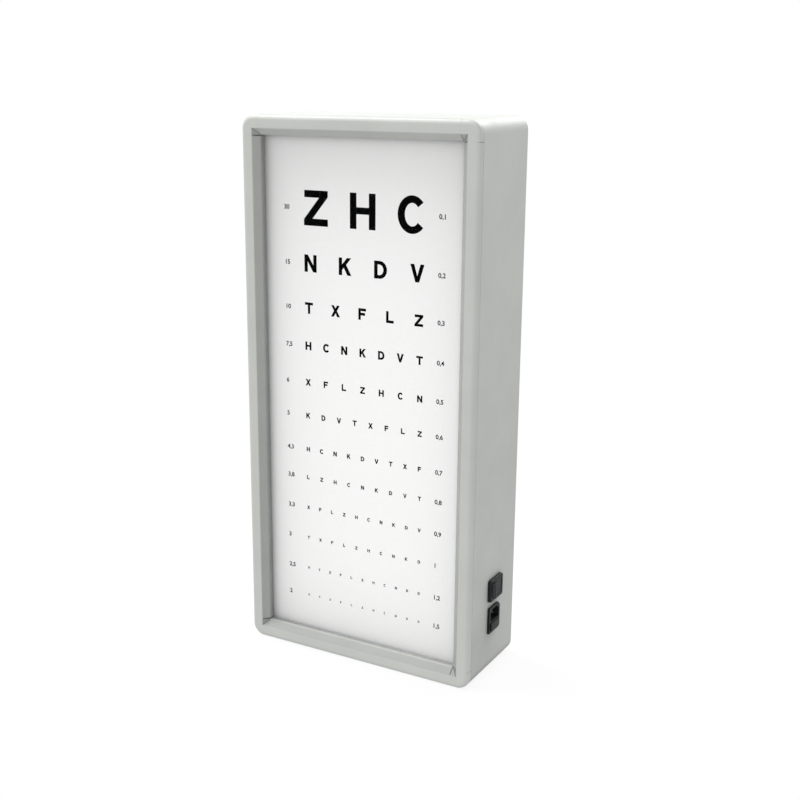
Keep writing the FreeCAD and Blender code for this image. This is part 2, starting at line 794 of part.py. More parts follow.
def terminal_block():
    """Three ways for the mains leads, bored along Z."""
    name = "terminal_block"
    block = box(name + "_block", TERMINAL_X + " - terminal_width / 2", TRAY_BACK,
                "terminal_z - terminal_length / 2", "terminal_width", "terminal_height", "terminal_length")
    bores = [rod("%s_way_%d" % (name, way + 2), "%s + %d * terminal_pitch" % (TERMINAL_X, way),
                 TRAY_BACK + " + terminal_height / 2", "terminal_z - terminal_length / 2", "terminal_hole",
                 "terminal_length") for way in (-1, 0, 1)]
    return cut(name, block, bores)


def grommet():
    """A rubber ring in the tray: a lip in front, a neck and a lip behind."""
    name = "grommet"
    start = TRAY + " - grommet_lip"
    steps = []
    for label, y, radius, length in (("front_lip", start, "grommet_rim", "grommet_lip"),
                                     ("neck", TRAY, "grommet_neck", "tray_skin"),
                                     ("back_lip", TRAY_BACK, "grommet_rim", "grommet_lip")):
        steps.append(rod("%s_%s" % (name, label), GROMMET_X, y, "grommet_z", radius, length, ALONG_Y))
    bore = rod(name + "_bore", GROMMET_X, start, "grommet_z", "grommet_bore", "tray_skin + 2 * grommet_lip",
               ALONG_Y)
    return cut(name, fuse(name + "_ring", steps), [bore])


def earth_stud():
    """A stud through the tray with a nut behind it."""
    name = "earth_stud"
    stud = rod(name + "_rod", EARTH_X, TRAY, "earth_z", "stud_radius", "stud_length", ALONG_Y)
    nut = make("Part::Prism", name + "_nut", Circumradius="nut_radius", Height="nut_height")
    nut.Polygon = 6
    place(nut, EARTH_X, TRAY_BACK, "earth_z", ALONG_Y)
    return fuse(name, [stud, nut])


keep(gear_tray())
for lamp, x in LAMPS.items():
    for piece in lamp_pieces(lamp, x):
        keep(piece)
    for end in ENDS:
        keep(lampholder(lamp, x, end))
keep(ballast())
keep(group("ballast_screws", [ballast_screw(number, z)
                              for number, z in enumerate(ballast_screw_heights(), start=1)]))
keep(terminal_block())
keep(grommet())
keep(earth_stud())


# The rocker switch, on the +X wall

SWITCH_FACE = "(%s + switch_bezel)" % SIDE
PIVOT_X = "(%s - rocker_pivot)" % SWITCH_FACE
SWITCH_BACK = "(%s - switch_body_depth)" % SIDE


def switch_body():
    """A deep bezel on the wall and a box behind it, hollow for the rocker, with holes for its trunnions."""
    name = "switch_body"
    bezel = box(name + "_bezel", SIDE, SWITCH_Y + " - switch_bezel_length / 2",
                "switch_height - switch_bezel_height / 2", "switch_bezel", "switch_bezel_length",
                "switch_bezel_height")
    barrel = box(name + "_barrel", SWITCH_BACK, SWITCH_Y + " - switch_body_length / 2",
                 "switch_height - switch_body_height / 2", "switch_body_depth", "switch_body_length",
                 "switch_body_height")
    sink = "(rocker_pivot + rocker_belly + rocker_radius * sin(rocker_tilt_angle))"
    room = "(rocker_radius + joint_gap)"
    hollow = box(name + "_hollow", "%s - %s" % (SWITCH_FACE, sink), "%s - %s" % (SWITCH_Y, room),
                 "switch_height - rocker_width / 2 - joint_gap", sink, "2 * " + room,
                 "rocker_width + 2 * joint_gap")
    reach = "(rocker_width / 2 + trunnion_length + fit_gap)"
    bearing = rod(name + "_bearing", PIVOT_X, SWITCH_Y, "switch_height - " + reach,
                  "trunnion_radius + turning_gap", "2 * " + reach)
    return cut(name, fuse(name + "_whole", [bezel, barrel]), [hollow, bearing])


def rocker():
    """A rocker with a shallow valley across its face, tilted so that its rear half lies level."""
    name = "rocker"
    drum = rod(name + "_drum", 0, 0, "-rocker_width / 2", "rocker_radius", "rocker_width")
    rise = "(rocker_valley + 2 * rocker_radius * tan(rocker_tilt_angle))"
    valley = pad(name + "_valley", [
        ("rocker_valley", "0"),
        (rise, "2 * rocker_radius"),
        ("2 * rocker_radius", "2 * rocker_radius"),
        ("2 * rocker_radius", "-2 * rocker_radius"),
        (rise, "-2 * rocker_radius"),
    ], "rocker_width")
    place(valley, 0, 0, "-rocker_width / 2")
    under = box(name + "_under", "-rocker_radius", "-rocker_radius", "-rocker_width / 2",
                "rocker_radius - rocker_belly", "2 * rocker_radius", "rocker_width")
    trunnion = rod(name + "_trunnion", 0, 0, "-rocker_width / 2 - trunnion_length", "trunnion_radius",
                   "rocker_width + 2 * trunnion_length")
    whole = fuse(name, [cut(name + "_face", drum, [valley, under]), trunnion])
    place(whole, PIVOT_X, SWITCH_Y, "switch_height", FreeCAD.Rotation(Z, 1))
    whole.setExpression("Placement.Rotation.Angle", bound("rocker_tilt_angle"))
    return whole


def switch_tabs():
    """Four flat tabs behind the switch."""
    tabs = []
    for row in (-1, 1):
        for column in (-1, 1):
            tabs.append(box("switch_tab_%d_%d" % (row + 2, column + 2), SWITCH_BACK + " - tab_length",
                            "%s + %d * blade_spacing - tab_skin / 2" % (SWITCH_Y, column),
                            "switch_height + %d * switch_body_height / 4 - tab_width / 2" % row,
                            "tab_length", "tab_skin", "tab_width"))
    return group("switch_tabs", tabs)


# The mains inlet with its fuse drawer, below the switch

INLET_BACK = "(%s - inlet_body_depth)" % SIDE
INLET_FACE = "(%s + inlet_flange)" % SIDE


def inlet_blades(name, slack):
    """Three flat pins that run through the inlet to the tabs behind it, or their slots."""
    blades = []
    for way in (-1, 0, 1):
        lift = "(2 * %d - 1) * blade_offset" % (way == 0)
        blades.append(box("%s_%d" % (name, way + 2), INLET_BACK + " - tab_length",
                          "%s + %d * blade_spacing - blade_skin / 2 - %s" % (INLET_Y, way, slack),
                          "%s + %s - blade_width / 2 - %s" % (SOCKET_Z, lift, slack),
                          "inlet_body_depth + tab_length + inlet_flange - blade_recess",
                          "blade_skin + 2 * " + slack, "blade_width + 2 * " + slack))
    return blades


def inlet_body():
    """A flange on the wall and a box behind it, with the socket above and the drawer's slot below."""
    name = "inlet_body"
    half = "inlet_flange_length / 2"
    tall = "inlet_flange_height / 2"
    flange = pad(name + "_flange", [
        ("-" + half, "-" + tall),
        (half + " - inlet_chamfer", "-" + tall),
        (half, "-%s + inlet_chamfer" % tall),
        (half, tall + " - inlet_chamfer"),
        (half + " - inlet_chamfer", tall),
        ("-" + half, tall),
    ], "inlet_flange")
    place(flange, SIDE, INLET_Y, "inlet_height", ALONG_X)
    back = box(name + "_back", INLET_BACK, INLET_Y + " - inlet_body_length / 2",
               "inlet_height - inlet_body_height / 2", "inlet_body_depth", "inlet_body_length",
               "inlet_body_height")
    wide = "socket_width / 2"
    high = "socket_height / 2"
    socket = pad(name + "_socket", [
        ("-" + wide, "-" + high),
        (wide, "-" + high),
        (wide, high + " - socket_chamfer"),
        (wide + " - socket_chamfer", high),
        ("-%s + socket_chamfer" % wide, high),
        ("-" + wide, high + " - socket_chamfer"),
    ], "socket_reach")
    place(socket, INLET_FACE + " - socket_reach", INLET_Y, SOCKET_Z, ALONG_X)
    slot = box(name + "_slot", INLET_FACE + " - inlet_flange - drawer_reach - joint_gap",
               INLET_Y + " - drawer_width / 2", DRAWER_Z + " - drawer_height / 2",
               "drawer_reach + inlet_flange + joint_gap", "drawer_width", "drawer_height")
    blade_slots = inlet_blades("inlet_slot", "turning_gap")
    return cut(name, fuse(name + "_whole", [flange, back]), [socket, slot] + blade_slots)


def fuse_places():
    return [("left", INLET_Y + " - fuse_spacing / 2"), ("right", INLET_Y + " + fuse_spacing / 2")]


def fuse_drawer():
    """A drawer with a face on the flange and two troughs for fuses."""
    name = "fuse_drawer"
    width = "(drawer_width - 2 * joint_gap)"
    height = "(drawer_height - 2 * joint_gap)"
    slide = box(name + "_slide", SIDE + " - drawer_reach", "%s - %s / 2" % (INLET_Y, width),
                "%s - %s / 2" % (DRAWER_Z, height), "drawer_reach + inlet_flange", width, height)
    face = box(name + "_front", INLET_FACE, INLET_Y + " - drawer_width / 2 - drawer_rim",
               DRAWER_Z + " - drawer_height / 2 - drawer_rim", "drawer_face", "drawer_width + 2 * drawer_rim",
               "drawer_height + 2 * drawer_rim")
    tools = []
    radius = "(fuse_radius + fit_gap)"
    start = SIDE + " - fuse_length - fit_gap"
    length = "fuse_length + 2 * fit_gap"
    for label, y in fuse_places():
        tools.append(rod("%s_trough_%s" % (name, label), start, y, DRAWER_Z, radius, length, ALONG_X))
        tools.append(box("%s_mouth_%s" % (name, label), start, "%s - %s" % (y, radius), DRAWER_Z,
                         length, "2 * " + radius, "drawer_height"))
    return cut(name, fuse(name + "_whole", [slide, face]), tools)


keep(switch_body())
keep(rocker())
keep(switch_tabs())
keep(inlet_body())
keep(group("inlet_pins", inlet_blades("inlet_pin", "0")))
keep(fuse_drawer())
keep(group("fuses", [rod("fuse_" + label, SIDE + " - fuse_length", y, DRAWER_Z, "fuse_radius", "fuse_length",
                         ALONG_X) for label, y in fuse_places()]))


# Leads: straight runs joined by arcs as large as the runs allow

ARC_SHARE = 0.45


def lead(points, radius):
    """A round lead through these points."""
    edges = []
    start = points[0]
    for before, point, after in zip(points, points[1:], points[2:]):
        back = (before - point).normalize()
        ahead = (after - point).normalize()
        turn = math.pi - back.getAngle(ahead)
        reach = ARC_SHARE * min(before.distanceToPoint(point), point.distanceToPoint(after))
        enter = point + back * reach
        leave = point + ahead * reach
        bend = reach / math.tan(turn / 2)
        inward = (back + ahead).normalize()
        middle = point + inward * (bend / math.cos(turn / 2) - bend)
        edges.append(Part.LineSegment(start, enter).toShape())
        edges.append(Part.Arc(enter, middle, leave).toShape())
        start = leave
    edges.append(Part.LineSegment(start, points[-1]).toShape())
    path = Part.Wire(edges)
    ring = Part.Wire([Part.Circle(points[0], points[1] - points[0], radius).toShape()])
    solid = path.makePipeShell([ring], True, False)
    expected = math.pi * radius ** 2 * path.Length
    if abs(solid.Volume - expected) > 0.01 * expected:
        raise RuntimeError("a lead has the wrong volume")
    return solid


def lead_node(name, solids):
    item = doc.addObject("Part::Feature", name)
    item.Shape = solids[0] if len(solids) == 1 else Part.makeCompound(solids)
    item.Placement = FreeCAD.Placement()
    return keep(item)


side_x = size("box_width") / 2
front_y = -size("box_depth") / 2
tray_back_y = size("box_depth") / 2 - size("panel_skin") - size("ballast_gap") - size("ballast_height")
tray_y = tray_back_y - size("tray_skin")
switch_y = front_y + size("switch_depth")
inlet_y = front_y + size("inlet_depth")
inlet_tab_x = side_x - size("inlet_body_depth") - size("tab_length")
switch_tab_x = side_x - size("switch_body_depth") - size("tab_length")
socket_z = size("inlet_height") + size("socket_lift")
tab_row = size("switch_body_height") / 4
spread = size("blade_spacing")
wire = size("wire_radius")
bore_x = side_x - size("grommet_inset")
ways_x = side_x - size("terminal_inset")
bore_z = size("grommet_z")
guide_y = tray_y - size("wire_guide")
grip = size("wire_grip")
ways_y = tray_back_y + size("terminal_height") / 2
ways_low = size("terminal_z") - size("terminal_length") / 2
ways_high = size("terminal_z") + size("terminal_length") / 2
ballast_end = size("box_height") / 2 - size("ballast_length") / 2


def jumper(way):
    """From a pin of the inlet up to the switch, in a loop behind both."""
    y_low = inlet_y + way * spread
    y_high = switch_y + way * spread
    low = socket_z - size("blade_offset")
    high = size("switch_height") - tab_row
    loop = inlet_tab_x - (high - low) / 2
    return lead([FreeCAD.Vector(inlet_tab_x, y_low, low), FreeCAD.Vector(loop, y_low, low),
                 FreeCAD.Vector(loop, y_high, high), FreeCAD.Vector(switch_tab_x, y_high, high)], wire)


def switched_lead(way):
    """From the switch through the grommet to the terminal block."""
    y = switch_y + way * spread
    z = size("switch_height") + tab_row
    x = bore_x + way * 2 * wire
    end_x = ways_x + way * size("terminal_pitch")
    return lead([FreeCAD.Vector(switch_tab_x, y, z), FreeCAD.Vector(x, y, z),
                 FreeCAD.Vector(x, guide_y, bore_z), FreeCAD.Vector(x, ways_y, bore_z),
                 FreeCAD.Vector(end_x, ways_y, (bore_z + ways_low) / 2),
                 FreeCAD.Vector(end_x, ways_y, ways_low + grip)], wire)


def earth_lead():
    """From the middle pin of the inlet through the grommet down to the earth stud."""
    z = socket_z + size("blade_offset")
    stop = size("earth_z") + size("nut_radius")
    depth = tray_back_y + size("nut_height") / 2
    low = bore_z - 3 * wire
    return lead([FreeCAD.Vector(inlet_tab_x, inlet_y, z), FreeCAD.Vector(bore_x, inlet_y, z),
                 FreeCAD.Vector(bore_x, guide_y, low), FreeCAD.Vector(bore_x, ways_y, low),
                 FreeCAD.Vector(side_x - size("earth_inset"), depth, stop)], wire)


def supply_lead(way):
    """From the terminal block over to the end of the ballast."""
    x = ways_x + way * size("terminal_pitch")
    depth = tray_back_y + size("ballast_height") * (5 + way) / 8
    end_x = way * size("ballast_width") / 4
    rise = ballast_end - ways_high
    return lead([FreeCAD.Vector(x, ways_y, ways_high - grip), FreeCAD.Vector(x, ways_y, ways_high + rise / 6),
                 FreeCAD.Vector(x, depth, ways_high + rise / 3),
                 FreeCAD.Vector(end_x, depth, ballast_end - rise / 3),
                 FreeCAD.Vector(end_x, depth, ballast_end)], wire)


def lamp_lead(side, end):
    """From a lampholder through the tray and along it to the ballast."""
    x = side * size("lamp_spacing") / 2
    middle = size("box_height") / 2
    holder = middle - size("lamp_end") + size("joint_gap") + size("holder_thickness") / 2
    radius = size("lamp_lead_radius")
    depth = tray_back_y + size("ballast_foot_skin") + 2 * radius
    reach = size("ballast_length") / 2
    run = holder - reach
    end_x = side * size("ballast_width") / 3
    return lead([FreeCAD.Vector(x, tray_y, middle + end * holder),
                 FreeCAD.Vector(x, depth, middle + end * holder),
                 FreeCAD.Vector(x, depth, middle + end * (holder - run / 3)),
                 FreeCAD.Vector(end_x, depth, middle + end * (reach + run / 4)),
                 FreeCAD.Vector(end_x, depth, middle + end * reach)], radius)


lead_node("live_lead", [jumper(-1), switched_lead(-1), supply_lead(-1)])
lead_node("neutral_lead", [jumper(1), switched_lead(1), supply_lead(1)])
lead_node("earth_lead", [earth_lead()])
lead_node("lamp_leads", [lamp_lead(side, end) for side in (-1, 1) for end in (-1, 1)])

doc.recompute()
for item in doc.Objects:
    if "Invalid" in item.State or "Error" in item.State:
        raise RuntimeError("%s failed: %s" % (item.Label, item.State))
for item in nodes:
    if item.Shape.isNull() or not item.Shape.isValid() or not item.Shape.Solids:
        raise RuntimeError("%s has no valid solid" % item.Label)

os.makedirs("parts", exist_ok=True)
for item in nodes:
    item.Shape.exportStep("parts/%s.step" % item.Label)
    print(item.Label, len(item.Shape.Solids), round(item.Shape.Volume, 1))
print(len(nodes), "nodes")
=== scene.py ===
import json
import math

import bmesh
import bpy
import numpy as np
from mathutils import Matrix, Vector


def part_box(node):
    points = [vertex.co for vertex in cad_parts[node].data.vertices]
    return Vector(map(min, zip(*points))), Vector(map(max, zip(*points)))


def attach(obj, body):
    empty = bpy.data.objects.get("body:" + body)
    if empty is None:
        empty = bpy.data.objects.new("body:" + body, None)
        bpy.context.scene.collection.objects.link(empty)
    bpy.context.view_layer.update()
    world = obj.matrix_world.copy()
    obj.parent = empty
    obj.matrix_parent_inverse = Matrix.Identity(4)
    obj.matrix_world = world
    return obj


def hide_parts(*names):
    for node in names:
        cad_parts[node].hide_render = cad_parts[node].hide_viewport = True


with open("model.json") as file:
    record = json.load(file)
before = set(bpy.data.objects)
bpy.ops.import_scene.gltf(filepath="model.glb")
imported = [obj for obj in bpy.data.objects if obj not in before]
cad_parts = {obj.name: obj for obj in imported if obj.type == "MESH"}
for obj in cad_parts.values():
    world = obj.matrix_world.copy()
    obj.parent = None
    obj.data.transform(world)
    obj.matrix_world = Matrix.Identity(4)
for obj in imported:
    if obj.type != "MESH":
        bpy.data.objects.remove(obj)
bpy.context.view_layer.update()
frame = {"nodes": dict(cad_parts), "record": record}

# The looks of an eye-chart light box, in metres, in the frame of its solids: it stands on its base with +Z
# up, its chart faces -Y, and its switch and inlet are on the +X side.

MM = 0.001
nodes = frame["nodes"]
slot_of = {part["node"]: part["material_slot"] for part in frame["record"]["subparts"]}
case_low, case_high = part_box("housing")
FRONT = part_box("snap_rail_left")[0].y
CHART_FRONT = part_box("chart_sheet")[0].y
BOX_HEIGHT = case_high.z

# The section of a rail, in millimetres and degrees: its nose turns about the hinge, its claw grips the bead
NOSE = 6.0
NOSE_TUCK = 38.0
SKIN = 1.5
FACE = 16.4
BEVEL = 8.4
LIP = 1.9
CLAW_OUTER = 2.65
CLAW_INNER = 1.55
CLAW_START = 160.0
CLAW_END = 368.0

# Eased edges, in millimetres
EDGE_EASE = 0.5
LIP_EASE = 1.3
MATE_EASE = 0.1
CASE_EDGE = 0.4

# How far a rail's ends stay back from the corner pieces, in millimetres: everywhere, on the slope at the
# rail's two ends, and at the nose, where the cut fades out over its reach
END_GAP = 0.05
UPRIGHT_CUTS = (1.5, 1.5)
LEVEL_CUTS = (0.1, 0.9)
NOSE_CUT = 0.45
NOSE_CUT_REACH = 4.5


# Shapes worked out as arrays

# Angles in degrees below which faces look smooth or lie flat, and above which their edge is eased; distances
# in metres within which points are one, in an array or in a solid, or lie on a plane
SMOOTH_ANGLE = 30
FLAT_ANGLE = 0.3
SHARP_ANGLE = 35
SAME_POINT = 1e-7
SAME_CORNER = 1e-6
ON_PLANE = 1e-5


def arc(centre, radius, start, end, count):
    """Points on a circle, or on an ellipse where the radius is a pair: the centre plus the radius times
    (cos t, sin t), t from start to end in degrees."""
    t = np.radians(np.linspace(start, end, count))
    return np.add(centre, np.multiply(radius, np.column_stack([np.cos(t), np.sin(t)])))


def eased(before, corner, after, ease, count=7):
    """A rounded corner: the parabola that leaves both edges at the distance ease from the corner."""
    before, corner, after = np.array([before, corner, after], float)
    start = corner + ease * (before - corner) / np.linalg.norm(before - corner)
    end = corner + ease * (after - corner) / np.linalg.norm(after - corner)
    s = np.linspace(0, 1, count)[:, None]
    return (1 - s) ** 2 * start + 2 * s * (1 - s) * corner + s ** 2 * end


def new_piece(name, points, faces):
    """An object at the origin from points and faces, turned outwards, and smooth where faces meet at a small
    angle."""
    mesh = bpy.data.meshes.new(name)
    mesh.from_pydata(points, [], faces)
    shape = bmesh.new()
    shape.from_mesh(mesh)
    bmesh.ops.remove_doubles(shape, verts=shape.verts, dist=SAME_POINT)
    bmesh.ops.recalc_face_normals(shape, faces=shape.faces)
    shape.to_mesh(mesh)
    shape.free()
    mesh.shade_smooth()
    mesh.set_sharp_from_angle(angle=math.radians(SMOOTH_ANGLE))
    piece = bpy.data.objects.new(name, mesh)
    bpy.context.scene.collection.objects.link(piece)
    return piece


def carried(name, outline, stations, place):
    """A closed outline (u, v) carried along the stations w, with both ends shut; place turns (u, v, w) to
    x, y, z. The outline may differ from ring to ring, and so may the stations from point to point."""
    rings, count = len(stations), outline.shape[-2]
    u, v = [np.broadcast_to(outline[..., axis], (rings, count)).ravel() for axis in (0, 1)]
    w = np.broadcast_to(np.reshape(stations, (rings, -1)), (rings, count)).ravel()
    first = np.arange(count)
    starts = count * np.arange(rings - 1)[:, None]
    here = first + starts
    after = np.roll(first, -1) + starts
    sides = np.stack([here, after, after + count, here + count], axis=-1)
    faces = sides.reshape(-1, 4).tolist()
    faces.append(first.tolist())
    faces.append((first + count * (rings - 1)).tolist())
    return new_piece(name, place(u, v, w), faces)


def rounded_rectangle(half_length, half_height, corner, count=7):
    """Four quarter circles round the corners' centres, which lie the corner radius inside the half sizes."""
    turns = ((1, -1, -90), (1, 1, 0), (-1, 1, 90), (-1, -1, 180))
    return np.vstack([
        arc((along * (half_length - corner), up * (half_height - corner)), corner, start, start + 90, count)
        for along, up, start in turns
    ])


def dress(piece, body, finish, slot, *replaced):
    """The piece rides on its body, wears its finish and stands for the nodes it replaces."""
    piece.data.materials.clear()
    piece.data.materials.append(finish)
    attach(piece, body)
    if replaced:
        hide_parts(*replaced)


def round_edges(piece, ease, planes=(), limit=SHARP_ANGLE):
    """A bevel on the edges sharper than the limit, with a width of its own on each plane; a plane is given as
    an axis, a place on it and the width."""
    shape = bmesh.new()
    shape.from_mesh(piece.data)
    weight = shape.edges.layers.float.new("bevel_weight_edge")
    widest = max([ease] + [width for axis, place, width in planes])
    for edge in shape.edges:
        if edge.calc_face_angle(0) < math.radians(limit):
            continue
        edge[weight] = ease / widest
        for axis, place, width in planes:
            if max(abs(vertex.co[axis] - place) for vertex in edge.verts) < ON_PLANE:
                edge[weight] = width / widest
    shape.to_mesh(piece.data)
    shape.free()
    bevel = piece.modifiers.new("eased edges", "BEVEL")
    bevel.width = widest * MM
    bevel.segments = 3
    bevel.limit_method = "WEIGHT"
    bevel.harden_normals = True


def eased_copy(name, node, ease, planes=()):
    """A copy of a solid with its doubles merged, its flat faces joined and its sharp edges rounded."""
    shape = bmesh.new()
    shape.from_mesh(nodes[node].data)
    bmesh.ops.remove_doubles(shape, verts=shape.verts, dist=SAME_CORNER)
    flat = math.radians(FLAT_ANGLE)
    bmesh.ops.dissolve_limit(shape, angle_limit=flat, verts=shape.verts, edges=shape.edges)
    shape.verts.index_update()
    points = [vertex.co[:] for vertex in shape.verts]
    faces = [[vertex.index for vertex in face.verts] for face in shape.faces]
    shape.free()
    piece = new_piece(name, points, faces)
    round_edges(piece, ease, planes)
    return piece


# Finishes

def add(tree, kind, inputs, **settings):
    """A shader node with its settings; each input is a value or the output that feeds it."""
    item = tree.nodes.new("ShaderNode" + kind)
    for setting, value in settings.items():
        setattr(item, setting, value)
    for socket, value in inputs.items():
        if isinstance(value, bpy.types.NodeSocket):
            tree.links.new(value, item.inputs[socket])
        else:
            item.inputs[socket].default_value = value
    return item


def finish(name, **values):
    """A new material with its shader's own values, named as the sockets with _ for a space."""
    material = bpy.data.materials.new(name)
    material.use_nodes = True
    tree = material.node_tree
    shader = tree.nodes["Principled BSDF"]
    for socket, value in values.items():
        shader.inputs[socket.replace("_", " ")].default_value = value
    return material, tree, shader


def spot(tree):
    """The place of a spot on its object."""
    return add(tree, "TexCoord", {}).outputs["Object"]


def noise(tree, cell, detail=2.0, stretch=(1, 1, 1)):
    """A noise with cells about this many millimetres long, times the stretch along each axis."""
    scale = [1 / (cell * MM * factor) for factor in stretch]
    place = add(tree, "Mapping", {"Vector": spot(tree), "Scale": scale})
    return add(tree, "TexNoise", {"Vector": place.outputs[0], "Scale": 1.0, "Detail": detail}).outputs["Fac"]


def ranged(tree, factor, low, high, start=0.3, end=0.7):
    """A factor from start to end, mapped onto low to high."""
    values = {"Value": factor, "From Min": start, "From Max": end, "To Min": low, "To Max": high}
    return add(tree, "MapRange", values).outputs["Result"]


def shaded(colour, factor):
    """A solid colour, made lighter or darker by the factor."""
    return [part * factor for part in colour[:3]] + [1.0]


def mixed(tree, factor, first, second):
    """A colour that goes from the first to the second as the factor goes from 0 to 1."""
    return add(tree, "MixRGB", {"Fac": factor, "Color1": first, "Color2": second}).outputs["Color"]


def multiplied(tree, colour, factor):
    """A colour times a factor that differs from spot to spot."""
    inputs = {"Fac": 1.0, "Color1": colour, "Color2": factor}
    return add(tree, "MixRGB", inputs, blend_type="MULTIPLY").outputs["Color"]


def relief(tree, shader, layers):
    """Bumps laid over each other: each layer is a height and its depth in millimetres."""
    normal = None
    for height, depth in layers:
        inputs = {"Height": height, "Distance": depth * MM, "Strength": 1.0}
        if normal is not None:
            inputs["Normal"] = normal
        normal = add(tree, "Bump", inputs).outputs["Normal"]
    tree.links.new(normal, shader.inputs["Normal"])


def nooks(tree, reach):
    """Open surface is 1 and a nook is 0, looking this many millimetres around."""
    return add(tree, "AmbientOcclusion", {"Distance": reach * MM}, samples=6).outputs["AO"]


def maths(tree, operation, first, second=0.0):
    """One step of arithmetic on one or two numbers."""
    return add(tree, "Math", {0: first, 1: second}, operation=operation).outputs[0]


def blended(tree, factor, first, second):
    """A number that goes from the first to the second as the factor goes from 0 to 1."""
    values = {"Value": factor, "To Min": first, "To Max": second}
    return add(tree, "MapRange", values).outputs["Result"]


def from_middle(tree, axis, low, high):
    """How far a spot lies along an axis from the middle between low and high."""
    place = add(tree, "SeparateXYZ", {"Vector": spot(tree)}).outputs[axis]
    return maths(tree, "ABSOLUTE", maths(tree, "SUBTRACT", place, (low + high) / 2))


def inward(tree):
    """How far a spot lies in from the nearer side of the box, and from its nearer end."""
    aside = maths(tree, "SUBTRACT", case_high.x, from_middle(tree, "X", -case_high.x, case_high.x))
    along = maths(tree, "SUBTRACT", BOX_HEIGHT / 2, from_middle(tree, "Z", 0, BOX_HEIGHT))
    return aside, along


# Painted light and shade on the frame, as tones: its flat face at the base and at the top of the box, and its
# lip on the level and the upright rails
LOW_FACE = 1.045
HIGH_FACE = 0.975
LEVEL_LIP = 0.93
UPRIGHT_LIP_SHADE = 0.55

# Where one tone gives way to the next: the height at which the bottom rail's tone turns to the top rail's, as
# shares of the box, and millimetres from the inner edge of the face, from the lip, and from the line where
# two slopes meet, for the change from rail to rail and for the valley along it
HALFWAY_UP = (0.4, 0.6)
SLOPE_STARTS = (-0.7, 0.5)
LIP_STARTS = (-1.2, -0.3)
RAIL_TURNS = 0.2
VALLEY_ENDS = (0.4, 1.1)


def painted_frame_shade(tree, side_tone, top_tone, bottom_tone, valley_tone):
    """The painted light and shade on the frame: nearly 1 on its flat face, a little less towards the top, and
    a painted shade on its slope, which differs on the upright, the top and the bottom rails, times the valley
    tone near the valley, the line where two slopes meet. The lip is painted nearly bright on the level rails
    and in deep painted shade on the upright ones."""
    aside, along = inward(tree)
    height = add(tree, "SeparateXYZ", {"Vector": spot(tree)}).outputs["Z"]
    upper = ranged(tree, height, 0, 1, *[share * BOX_HEIGHT for share in HALFWAY_UP])
    level_tone = blended(tree, upper, bottom_tone, top_tone)
    reach = maths(tree, "MINIMUM", aside, along)
    slope = ranged(tree, reach, 0, 1, *[(FACE + step) * MM for step in SLOPE_STARTS])
    lip = ranged(tree, reach, 0, 1, *[(FACE + BEVEL + step) * MM for step in LIP_STARTS])
    turn = maths(tree, "SUBTRACT", along, aside)
    level = blended(tree, lip, level_tone, LEVEL_LIP)
    upright = blended(tree, lip, side_tone, UPRIGHT_LIP_SHADE)
    tone = blended(tree, ranged(tree, turn, 0, 1, -RAIL_TURNS * MM, RAIL_TURNS * MM), level, upright)
    from_line = maths(tree, "ABSOLUTE", turn)
    valley = ranged(tree, from_line, valley_tone, 1, *[step * MM for step in VALLEY_ENDS])
    face = ranged(tree, height, LOW_FACE, HIGH_FACE, 0, BOX_HEIGHT)
    return blended(tree, slope, face, maths(tree, "MULTIPLY", tone, valley))


# The shade low on the case: its depth, and the height and the distance from the front, in millimetres, up to
# which it is full and at which it is gone
LOW_SHADE = 0.12
SHADE_FULL = (55.0, 60.0)
SHADE_GONE = (100.0, 125.0)


def low_shade(tree):
    """The tone of the case: 1, and a little less low on its sides near the front, where less light comes."""
    place = add(tree, "SeparateXYZ", {"Vector": spot(tree)})
    low = ranged(tree, place.outputs["Z"], 1, 0, SHADE_FULL[0] * MM, SHADE_GONE[0] * MM)
    near = ranged(tree, place.outputs["Y"], 1, 0, FRONT + SHADE_FULL[1] * MM, FRONT + SHADE_GONE[1] * MM)
    return blended(tree, maths(tree, "MULTIPLY", low, near), 1.0, 1.0 - LOW_SHADE)


# Paint and plastic: cells of the clouds and of the uneven gloss in millimetres, how much wider the specks are
# than the grain, where in their noise they show, and the tones of specks and of dust and painted shade in a
# deep nook
CLOUD_CELL = 60
GLOSS_CELL = 14
SPECK_CELL = 1.7
SPECKS_SHOW = (0.5, 0.75)
SPECK_TONE = 0.6
DUST_AND_SHADE_TONE = 0.35
DEEP_NOOK = 0.25


def coated(name, colour, gloss, peel, grain, clouds=0.03, dust_and_shade=0.25, peel_depth=0.02, grain_depth=0.01,
           shade=None, reach=5, open_from=0.8, shine=0.5):
    """Paint or moulded plastic: faint clouds in the colour, a soft wavy relief and a fine grain, an uneven
    gloss, and dust with painted shade in the nooks. gloss is the roughness at its lowest and highest, shade
    makes a painted light and shade that goes with the place, reach is how far in millimetres a nook darkens,
    open_from how open a spot is without dust and shade, and shine the strength of its reflections."""
    material, tree, shader = finish(name, Specular_IOR_Level=shine)
    cloud = noise(tree, CLOUD_CELL, 3)
    tone = mixed(tree, ranged(tree, cloud, 0, 1), shaded(colour, 1 - clouds), shaded(colour, 1 + clouds))
    speck = noise(tree, grain * SPECK_CELL, 2)
    tone = mixed(tree, ranged(tree, speck, 0, clouds / 2, *SPECKS_SHOW), tone, shaded(colour, SPECK_TONE))
    if shade:
        tone = multiplied(tree, tone, shade(tree))
    if dust_and_shade:
        nook = ranged(tree, nooks(tree, reach), dust_and_shade, 0, DEEP_NOOK, open_from)
        tone = mixed(tree, nook, tone, shaded(colour, DUST_AND_SHADE_TONE))
    tree.links.new(tone, shader.inputs["Base Color"])
    uneven = noise(tree, GLOSS_CELL, 3)
    tree.links.new(ranged(tree, uneven, gloss[0], gloss[1]), shader.inputs["Roughness"])
    relief(tree, shader, [(noise(tree, peel, 1), peel_depth), (noise(tree, grain, 2), grain_depth)])
    return material


